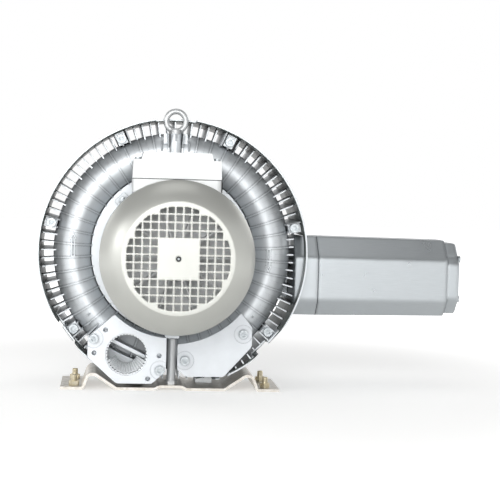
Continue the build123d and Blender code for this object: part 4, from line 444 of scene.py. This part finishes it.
# ---------------------------------------------------------------- operators
class BlowerStage(bpy.types.Operator):
    """Build the floor, the backdrop, the lamps and the camera"""
    bl_idname = "blower.stage"
    bl_label = "Stage"

    FLOOR_HALF = 8.0
    # near the blower the floor keeps its shadow, and farther off it fades to plain white
    GLOW_NEAR, GLOW_FAR = 0.36, 1.0
    NEAR_R, FAR_R = 0.42, 1.3
    # the white walls of the room end this far above the horizon, as a share of straight up
    WALL_TOP, WALL_FADE = 0.4, 0.15
    # each lamp's place, its width and height, and the size that gives its power
    LAMPS = (("KeyLamp", (-0.5, -2.95, 0.95), (1.7, 1.5), "key_power"),
             ("TopLamp", (0.0, 0.0, 2.6), (1.4, 1.4), "top_power"),
             ("LeftLamp", (-2.4, -1.5, 0.9), (1.2, 1.0), "left_power"),
             ("BackLeftLamp", (-2.2, 2.2, 1.4), (1.4, 1.2), "back_power"),
             ("BackRightLamp", (2.3, 2.2, 1.4), (1.4, 1.2), "back_power"))
    # all of them point at the axis, this far to the right
    AIM_X = 0.08
    # the camera stands a little left of the motor axis and looks slightly down
    CAMERA_PLACE = (-0.0945, -2.0221, 0.2951)
    CAMERA_TURN = (87.295, -1.577, -5.787)
    SENSOR_WIDTH_MM, CLIP_END = 36.0, 50.0

    def background_rays(self, tree):
        """1 for the rays that show the background as such, and 0 for the rays that light the blower."""
        light = add(tree, "ShaderNodeLightPath").outputs
        seen = add(tree, "ShaderNodeMath", {0: light["Is Camera Ray"], 1: light["Is Glossy Ray"]},
                   operation="MAXIMUM").outputs["Value"]
        return add(tree, "ShaderNodeMath", {0: seen, 1: light["Is Transmission Ray"]},
                   operation="MAXIMUM").outputs["Value"]

    def pale_floor(self):
        """White floor paint that keeps the blower's shadow."""
        material, tree, principled, place = new_material("PaleFloorPaint", {"Roughness": 0.9})
        principled.inputs["Base Color"].default_value = linear("#F4F4F3")
        away = add(tree, "ShaderNodeVectorMath", {0: place}, operation="LENGTH").outputs["Value"]
        glow = add(tree, "ShaderNodeMapRange",
                   {"Value": away, "From Min": self.NEAR_R, "From Max": self.FAR_R,
                    "To Min": self.GLOW_NEAR, "To Max": self.GLOW_FAR},
                   interpolation_type="SMOOTHSTEP").outputs["Result"]
        shown = add(tree, "ShaderNodeMath", {0: self.background_rays(tree), 1: glow}, operation="MULTIPLY")
        glowing = add(tree, "ShaderNodeEmission", {"Strength": shown.outputs["Value"]})
        both = add(tree, "ShaderNodeAddShader", {0: principled.outputs["BSDF"], 1: glowing.outputs[0]})
        output = next(n for n in tree.nodes if n.type == "OUTPUT_MATERIAL")
        tree.links.new(both.outputs[0], output.inputs["Surface"])
        return material

    def soft_room(self, light):
        """A dim even room whose walls show white around the blower."""
        world = bpy.data.worlds.new("SoftRoom")
        world.use_nodes = True
        tree = world.node_tree
        background = tree.nodes["Background"]
        background.inputs["Color"].default_value = linear("#FFFFFF")
        up = add(tree, "ShaderNodeSeparateXYZ", {0: add(tree, "ShaderNodeTexCoord").outputs["Generated"]})
        wall = add(tree, "ShaderNodeMapRange",
                   {"Value": up.outputs["Z"], "From Min": self.WALL_TOP,
                    "From Max": self.WALL_TOP + self.WALL_FADE, "To Min": 1.0, "To Max": 0.0})
        shown = add(tree, "ShaderNodeMath", {0: self.background_rays(tree), 1: wall.outputs["Result"]},
                    operation="MULTIPLY").outputs["Value"]
        strength = add(tree, "ShaderNodeMapRange", {"Value": shown, "To Min": light, "To Max": 1.0})
        tree.links.new(strength.outputs["Result"], background.inputs["Strength"])
        return world

    def lamp(self, name, place, size, power):
        """An area lamp that points at the blower and isn't seen by the camera."""
        deselect()
        bpy.ops.object.light_add(type="AREA", location=place)
        lamp = bpy.context.object
        lamp.name = name
        lamp.data.shape = "RECTANGLE"
        lamp.data.size, lamp.data.size_y = size
        lamp.data.energy = power
        aim = Vector((self.AIM_X, 0.0, AXIS_Z))
        lamp.rotation_euler = (aim - Vector(place)).to_track_quat("-Z", "Y").to_euler()
        lamp.visible_camera = False

    def execute(self, context):
        studio = context.scene.blower_studio
        deselect()
        bpy.ops.mesh.primitive_plane_add(size=2 * self.FLOOR_HALF, location=(0, 0, 0))
        floor = started("floor")
        floor.data.materials.append(self.pale_floor())
        settle(floor)

        for name, place, size, power in self.LAMPS:
            self.lamp(name, place, size, getattr(studio, power))
        context.scene.world = self.soft_room(studio.room_light)

        bpy.ops.object.camera_add(location=self.CAMERA_PLACE,
                                  rotation=[radians(a) for a in self.CAMERA_TURN])
        camera = context.object
        camera.data.lens = studio.lens
        camera.data.sensor_width = self.SENSOR_WIDTH_MM
        camera.data.clip_end = self.CLIP_END
        context.scene.camera = camera
        context.scene.view_settings.view_transform = "Standard"
        return {"FINISHED"}


class BlowerFinishNodes(bpy.types.Operator):
    """Give every CAD piece its finish"""
    bl_idname = "blower.finish_nodes"
    bl_label = "Finishes"

    def execute(self, context):
        made = finishes(context.scene.blower_finish)
        for name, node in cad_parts.items():
            for slot in node.material_slots:
                slot_name = OWN_FINISH.get(name, slot.material.name.split(".")[0])
                if slot_name not in made:
                    raise RuntimeError(f"no finish for {slot_name} on {name}")
                slot.material = made[slot_name]
        return {"FINISHED"}


def solid_copy(node, name):
    """A closed copy of a CAD node's mesh, free to be cut."""
    deselect()
    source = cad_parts[node]
    piece = bpy.data.objects.new(name, source.data.copy())
    piece.data.name = name
    bpy.context.scene.collection.objects.link(piece)
    piece.select_set(True)
    edit_all(piece)
    bpy.ops.mesh.remove_doubles(threshold=SAME_PLACE)
    bpy.ops.object.mode_set(mode="OBJECT")
    return piece


def cut_with(piece, tool, operation="DIFFERENCE"):
    """Cut a piece with a tool, and remove the tool."""
    modified(piece, "BOOLEAN", object=tool, operation=operation, solver="MANIFOLD")
    bpy.data.objects.remove(tool)


def keep_normals(piece, node):
    """Shade a cut copy as its CAD node is shaded, and its cut faces flat."""
    source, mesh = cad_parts[node].data, piece.data
    near_enough = cos(radians(35))

    def place(mesh, index):
        """A vertex's place to the nearest micrometre."""
        return tuple(round(c, 6) for c in mesh.vertices[index].co)

    known = {}
    for loop, normal in zip(source.loops, source.corner_normals):
        known.setdefault(place(source, loop.vertex_index), []).append(normal.vector.copy())
    normals = []
    for face in mesh.polygons:
        for index in face.vertices:
            best = max(known.get(place(mesh, index), []), key=face.normal.dot, default=face.normal)
            normals.append(best if best.dot(face.normal) > near_enough else face.normal)
    mesh.normals_split_custom_set(normals)


def channel_guide(tube_r, round_axis, round_tube):
    """A ring along the channel with a tube of a given radius, to cut with or to lay pieces on."""
    deselect()
    bpy.ops.mesh.primitive_torus_add(location=(AXIS_X, 0, AXIS_Z), rotation=ALONG_Y,
                                     major_radius=CHANNEL_R * MM, minor_radius=tube_r * MM,
                                     major_segments=round_axis, minor_segments=round_tube)
    guide = started("channel_guide")
    settle(guide)
    return guide


class BlowerFrontCasing(bpy.types.Operator):
    """Set the front casing's cooling fins back behind the channel, inside the shroud"""
    bl_idname = "blower.front_casing"
    bl_label = "Front casing"

    # what the fins lose: a ring between the channel and the shroud, from the casing's front back to here
    FIN_FRONT_Y = -15.0
    RING_IN, RING_OUT = 143.5, 187.9
    FRONT_Y = -62.0
    # the pieces that hollow out the ring reach past it by this much
    PAST = 5.0
    # the channel's tube: just clear of its metal, and over its ribs
    CLEAR_TUBE_R, RIBBED_R = 27.62, 30.35
    # straight runs in the cutting pieces, round the axis and round the tube
    ROUND_AXIS, ROUND_TUBE = 240, 72
    # the ribs: how many, where the first one stands, and the box that keeps each one whole
    RIBS, FIRST_RIB = 48, 3.75
    RIB_START, RIB_LENGTH, RIB_WIDTH = 140.5, 37.0, 3.0
    # the casing screws' bosses stand on all places of an even ring but the lowest one
    SCREW_PLACES, LOWEST, SCREW_R, BOSS = 7, 270, 178.5, 24.0
    # what else stands in the ring: the eye's pad at the top and the two flanges below
    BLOCKS = (((-20.0, 20.0), (135.0, 200.0)), ((-119.5, 117.5), (-200.0, -82.0)))

    def block(self, x0, x1, h0, h1):
        """A box from the casing's front to well behind the fins' front."""
        deselect()
        bpy.ops.mesh.primitive_cube_add(size=1, location=(
            AXIS_X + (x0 + x1) / 2 * MM, (self.FRONT_Y + self.PAST) / 2 * MM, AXIS_Z + (h0 + h1) / 2 * MM))
        piece = started("keep_out")
        piece.scale = ((x1 - x0) * MM, (self.PAST - self.FRONT_Y) * MM, (h1 - h0) * MM)
        settle(piece)
        return piece

    def boss(self, angle):
        """A box on a casing screw's boss, turned to face the axis."""
        half = self.BOSS / 2
        piece = self.block(-half, half, -half, half)
        piece.location = (-AXIS_X, 0, -AXIS_Z)
        settle(piece)
        piece.rotation_euler.y = -angle
        out = self.SCREW_R * MM
        piece.location = (AXIS_X + cos(angle) * out, 0, AXIS_Z + sin(angle) * out)
        settle(piece)
        return piece

    def disc(self, radius, back):
        """A disc round the axis from the casing's front back to a plane."""
        deselect()
        bpy.ops.mesh.primitive_cylinder_add(
            vertices=self.ROUND_AXIS, radius=radius * MM, depth=(back - self.FRONT_Y) * MM,
            location=(AXIS_X, (back + self.FRONT_Y) / 2 * MM, AXIS_Z), rotation=ALONG_Y)
        piece = started("disc")
        settle(piece)
        return piece

    def rib_boxes(self):
        """Thin upright boxes round the axis, one on each rib."""
        deselect()
        bpy.ops.mesh.primitive_cube_add(size=1)
        piece = started("rib_boxes")
        piece.scale = (self.RIB_LENGTH * MM, -self.FRONT_Y * MM, self.RIB_WIDTH * MM)
        piece.location = ((self.RIB_START + self.RIB_LENGTH / 2) * MM, self.FRONT_Y / 2 * MM, 0)
        settle(piece)
        piece.rotation_euler.y = -radians(self.FIRST_RIB)
        piece.location = (AXIS_X, 0, AXIS_Z)
        settle(piece)
        edit_all(piece)
        bpy.ops.mesh.spin(steps=self.RIBS - 1, dupli=True, angle=2 * pi * (1 - 1 / self.RIBS),
                          center=(AXIS_X, 0, AXIS_Z), axis=(0, 1, 0))
        turned_outward()
        return piece

    def execute(self, context):
        tool = self.disc(self.RING_OUT, self.FIN_FRONT_Y)
        cut_with(tool, self.disc(self.RING_IN, self.FIN_FRONT_Y + self.PAST))
        cut_with(tool, channel_guide(self.CLEAR_TUBE_R, self.ROUND_AXIS, self.ROUND_TUBE))
        ribs = self.rib_boxes()
        cut_with(ribs, channel_guide(self.RIBBED_R, self.ROUND_AXIS, self.ROUND_TUBE), "INTERSECT")
        cut_with(tool, ribs)
        for (x0, x1), (h0, h1) in self.BLOCKS:
            cut_with(tool, self.block(x0, x1, h0, h1))
        for number in range(1, self.SCREW_PLACES):
            cut_with(tool, self.boss(radians(self.LOWEST + 360 / self.SCREW_PLACES * number)))
        casing = solid_copy("front_casing", "front_casing_body")
        cut_with(casing, tool)
        keep_normals(casing, "front_casing")
        finished(casing, material_of("front_casing"), "base")
        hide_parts("front_casing")
        return {"FINISHED"}


class BlowerRotationArrows(bpy.types.Operator):
    """Raise the outlines of the two rotation arrows on the channel"""
    bl_idname = "blower.rotation_arrows"
    bl_label = "Rotation arrows"

    # middle of the arrow from the axis, across and up, and the way it points
    ARROWS = (("rotation_arrow_left", -141.5, 8.5, 1), ("rotation_arrow_right", 137.5, -8.5, -1))
    LENGTH, SHAFT_WIDTH = 33.5, 5.3
    HEAD, HEAD_WIDTH, TIP_WIDTH = 9.0, 9.4, 0.01
    # the arrows are drawn on a plane in front of the channel, and then laid on its tube
    DRAWING_Y = -60.0
    TUBE_R, ROUND_AXIS, ROUND_TUBE = 27.5, 180, 64

    def selected_width(self, piece):
        """How far the selection reaches across."""
        piece.update_from_editmode()
        across = [v.co.x for v in piece.data.vertices if v.select]
        return max(max(across) - min(across), 0.01 * MM)

    def drawn(self, name, across, up, way):
        """The flat shape of one arrow, in edit mode."""
        deselect()
        x, y, z = AXIS_X + across * MM, self.DRAWING_Y * MM, AXIS_Z + up * MM
        shaft = (self.LENGTH - self.HEAD) * MM
        tail = z - way * self.LENGTH / 2 * MM
        bpy.ops.mesh.primitive_plane_add(size=1, location=(x, y, tail + way * shaft / 2), rotation=ALONG_Y)
        arrow = started(name)
        arrow.scale = (self.SHAFT_WIDTH * MM, shaft, 1)
        settle(arrow)
        top = tail + way * shaft
        # the head: the shaft's end is widened, and then drawn out to a point
        choose(arrow, lambda p: abs(p.z - top) < 0.1 * MM, "EDGE")
        for rise, width in ((0.0, self.HEAD_WIDTH), (self.HEAD, self.TIP_WIDTH)):
            bpy.ops.mesh.extrude_region_move(TRANSFORM_OT_translate={"value": (0, 0, way * rise * MM)})
            share = width * MM / self.selected_width(arrow)
            bpy.ops.transform.resize(value=(share, 1, 1), center_override=(x, y, z))
        bpy.ops.mesh.select_all(action="SELECT")
        bpy.ops.mesh.remove_doubles(threshold=0.1 * MM)
        bpy.ops.mesh.normals_make_consistent(inside=False)
        bpy.ops.mesh.dissolve_faces()
        return arrow

    def execute(self, context):
        detail = context.scene.blower_detail
        channel = channel_guide(self.TUBE_R, self.ROUND_AXIS, self.ROUND_TUBE)
        for name, across, up, way in self.ARROWS:
            arrow = self.drawn(name, across, up, way)
            # only the outline stays, in runs short enough to follow the tube
            bpy.ops.mesh.inset(thickness=detail.arrow_line, use_boundary=True, use_even_offset=True)
            bpy.ops.mesh.delete(type="FACE")
            bpy.ops.mesh.select_all(action="SELECT")
            bpy.ops.mesh.subdivide(number_cuts=6)
            bpy.ops.object.mode_set(mode="OBJECT")
            modified(arrow, "SHRINKWRAP", target=channel, wrap_method="PROJECT", use_project_y=True,
                     use_negative_direction=False, use_positive_direction=True)
            modified(arrow, "SOLIDIFY", thickness=2 * detail.arrow_rise, offset=0.0)
            bpy.ops.object.shade_smooth_by_angle(angle=radians(40))
            settle(arrow)
            finished(arrow, material_of("front_casing"), "base")
        bpy.data.objects.remove(channel)
        return {"FINISHED"}


class BlowerInletWall(bpy.types.Operator):
    """Line the lower rim of the inlet with the fluted wall that leads up into the channel"""
    bl_idname = "blower.inlet_wall"
    bl_label = "Fluted inlet wall"

    FLUTES = 38
    MOUTH_R, THROAT_R = 26.8, 15.5
    # how far behind the liner's front the wall starts, and how deep and thick it is
    START, DEPTH, WALL = 1.0, 22.0, 1.2
    # the wall's top edge, below the middle of the inlet
    TOP_H = -6.0
    # every other edge along the cone is drawn in to this share, which leaves a groove on each side
    GROOVE = 0.93

    def execute(self, context):
        low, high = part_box("port_liner")
        x, z = (low.x + high.x) / 2, (low.z + high.z) / 2
        y = low.y + self.START * MM + self.DEPTH / 2 * MM
        deselect()
        bpy.ops.mesh.primitive_cone_add(vertices=2 * self.FLUTES, radius1=self.MOUTH_R * MM,
                                        radius2=self.THROAT_R * MM, depth=self.DEPTH * MM,
                                        end_fill_type="NOTHING", location=(x, y, z),
                                        rotation=(-pi / 2, 0, 0))
        wall = started("inlet_flutes")
        settle(wall)
        step = pi / self.FLUTES
        choose(wall, lambda p: round(atan2(p.z - z, p.x - x) / step) % 2 == 0, "VERT")
        bpy.ops.transform.resize(value=(self.GROOVE, 1, self.GROOVE), center_override=(x, y, z))
        choose(wall, lambda p: p.z > z + self.TOP_H * MM, "FACE")
        bpy.ops.mesh.delete(type="FACE")
        bpy.ops.mesh.select_all(action="SELECT")
        bpy.ops.mesh.normals_make_consistent(inside=True)
        bpy.ops.object.mode_set(mode="OBJECT")
        modified(wall, "SOLIDIFY", thickness=self.WALL * MM, offset=-1.0)
        modified(wall, "BEVEL", width=0.25 * MM, segments=2, limit_method="ANGLE", angle_limit=radians(20))
        bpy.ops.object.shade_smooth_by_angle(angle=radians(30))
        settle(wall)
        finished(wall, material_of("port_liner"), "base")
        return {"FINISHED"}


class BlowerGrilleCentre(bpy.types.Operator):
    """Set the small rivet, a bright pin in a black ring, in the middle of the cowl's grille; the ring's
    black is painted shade
    """
    bl_idname = "blower.grille_centre"
    bl_label = "Grille rivet"

    # the grille's face stands this far in front of the rivet's
    BEHIND_FACE = 0.1
    # the ring's outside and hole, how deep both are, and its rounded edges
    RING_R, HOLE_R, RING_DEPTH, HOLE_SHARE, RING_EDGE = 3.7, 1.9, 2.4, 0.8, 0.3
    PIN_R, PIN_DEPTH, PIN_EDGE = 1.5, 2.6, 0.25

    def turned(self, name, radius, depth):
        """A round piece behind the grille's face, with its front face chosen."""
        deselect()
        front = COWL_LOW.y + self.BEHIND_FACE * MM
        bpy.ops.mesh.primitive_cylinder_add(vertices=48, radius=radius * MM, depth=depth * MM,
                                            location=(AXIS_X, front + depth / 2 * MM, AXIS_Z),
                                            rotation=ALONG_Y)
        piece = started(name)
        settle(piece)
        choose(piece, lambda p: p.y < front + 0.1 * MM, "FACE")
        return piece

    def rounded(self, piece, width):
        """Leave edit mode and round the edges."""
        bpy.ops.object.mode_set(mode="OBJECT")
        modified(piece, "BEVEL", width=width * MM, segments=3, limit_method="ANGLE",
                 angle_limit=radians(40))
        bpy.ops.object.shade_smooth_by_angle(angle=radians(35))
        settle(piece)

    def execute(self, context):
        ring = self.turned("grille_rivet_ring", self.RING_R, self.RING_DEPTH)
        bpy.ops.mesh.inset(thickness=(self.RING_R - self.HOLE_R) * MM)
        bpy.ops.mesh.extrude_region_move(
            TRANSFORM_OT_translate={"value": (0, self.HOLE_SHARE * self.RING_DEPTH * MM, 0)})
        self.rounded(ring, self.RING_EDGE)
        # the ring wears the black plastic of the cable plugs: painted shade round the pin, beside the real
        # shade of its narrow recess
        finished(ring, material_of("cable_entry_plugs"), "base")
        pin = self.turned("grille_rivet", self.PIN_R, self.PIN_DEPTH)
        bpy.ops.mesh.inset(thickness=2 * self.PIN_EDGE * MM)
        self.rounded(pin, self.PIN_EDGE)
        finished(pin, material_of("cowl_screws"), "base")
        return {"FINISHED"}


def thread(name, radius, height, pitch, turns, steps, place, turn):
    """A helical ridge: a three-cornered section that is wound up round its axis."""
    deselect()
    bpy.ops.mesh.primitive_circle_add(vertices=3, radius=height, fill_type="NGON",
                                      location=(radius, 0, 0), rotation=ALONG_Y)
    ridge = started(name)
    # the section is flattened to fit the pitch
    ridge.scale = (1.0, 0.75 * pitch / height / 2, 1.0)
    settle(ridge)
    modified(ridge, "SCREW", axis="Z", screw_offset=pitch, angle=2 * pi, iterations=turns, steps=steps,
             render_steps=steps, use_normal_calculate=True, use_merge_vertices=False)
    ridge.rotation_euler = turn
    ridge.location = place
    settle(ridge)
    edit_all(ridge)
    bpy.ops.mesh.remove_doubles(threshold=SAME_PLACE)
    turned_outward()
    bpy.ops.object.shade_smooth_by_angle(angle=radians(50))
    return ridge


class BlowerStudThreads(bpy.types.Operator):
    """Cut the look of a thread round the free ends of the floor studs"""
    bl_idname = "blower.stud_threads"
    bl_label = "Stud threads"

    # the studs' places, their radius, and how the thread stands on them
    STUD_X, STUD_YS = 136.0, (-36.0, 30.0)
    STUD_R, RIDGE = 4.0, 0.45
    START, TURNS_LEFT_OUT = 0.6, 2

    def execute(self, context):
        detail = context.scene.blower_detail
        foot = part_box("foot_nuts")[1].z
        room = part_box("foot_studs")[1].z - foot
        turns = int(room / detail.stud_pitch) - self.TURNS_LEFT_OUT
        for number, (side, y) in enumerate([(s, y) for s in (-1, 1) for y in self.STUD_YS], 1):
            place = (side * self.STUD_X * MM, y * MM, foot + self.START * MM)
            ridge = thread(f"stud_thread_{number}", self.STUD_R * MM, self.RIDGE * MM, detail.stud_pitch,
                           turns, detail.thread_steps, place, (0, 0, 0))
            finished(ridge, material_of("foot_studs"), "base")
        return {"FINISHED"}


class BlowerPortThread(bpy.types.Operator):
    """Wind the thread of the outlet port"""
    bl_idname = "blower.port_thread"
    bl_label = "Port thread"

    # the port's middle, back from the frame's origin and up from the axis, and its radius
    PORT_Y, PORT_H, PORT_R = 27.5, -30.0, 29.8
    # the thread's ridge, how far inside the cap's face it starts, and its turns
    RIDGE, INSIDE, TURNS = 0.8, 8.2, 3

    def execute(self, context):
        detail = context.scene.blower_detail
        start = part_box("silencer_end_cap")[1].x - self.INSIDE * MM
        ridge = thread("outlet_thread", self.PORT_R * MM, self.RIDGE * MM, detail.port_pitch, self.TURNS,
                       2 * detail.thread_steps,
                       (start, self.PORT_Y * MM, AXIS_Z + self.PORT_H * MM), (0, pi / 2, 0))
        finished(ridge, material_of("silencer_end_cap"), "base")
        return {"FINISHED"}


class BlowerPanel(bpy.types.Panel):
    """The blower's sizes, colours and operators"""
    bl_idname = "VIEW3D_PT_blower"
    bl_label = "Side channel blower"
    bl_space_type = "VIEW_3D"
    bl_region_type = "UI"
    bl_category = "Blower"

    def draw(self, context):
        for group_name in GROUPS:
            group = getattr(context.scene, group_name)
            for name in group.__annotations__:
                self.layout.prop(group, name)
        for operator in OPERATORS:
            self.layout.operator(operator.bl_idname)


GROUPS = {"blower_studio": BlowerStudio, "blower_finish": BlowerFinish, "blower_detail": BlowerDetail}
OPERATORS = (BlowerStage, BlowerFinishNodes, BlowerFrontCasing, BlowerRotationArrows, BlowerInletWall,
             BlowerGrilleCentre, BlowerStudThreads, BlowerPortThread)


def register():
    for cls in (*GROUPS.values(), *OPERATORS, BlowerPanel):
        bpy.utils.register_class(cls)
    for name, group in GROUPS.items():
        setattr(bpy.types.Scene, name, PointerProperty(type=group))


def unregister():
    for name in GROUPS:
        delattr(bpy.types.Scene, name)
    for cls in (BlowerPanel, *reversed(OPERATORS), *GROUPS.values()):
        bpy.utils.unregister_class(cls)


def main():
    register()
    for operator in OPERATORS:
        group, name = operator.bl_idname.split(".")
        getattr(getattr(bpy.ops, group), name)()
    deselect()


if __name__ == "__main__":
    main()
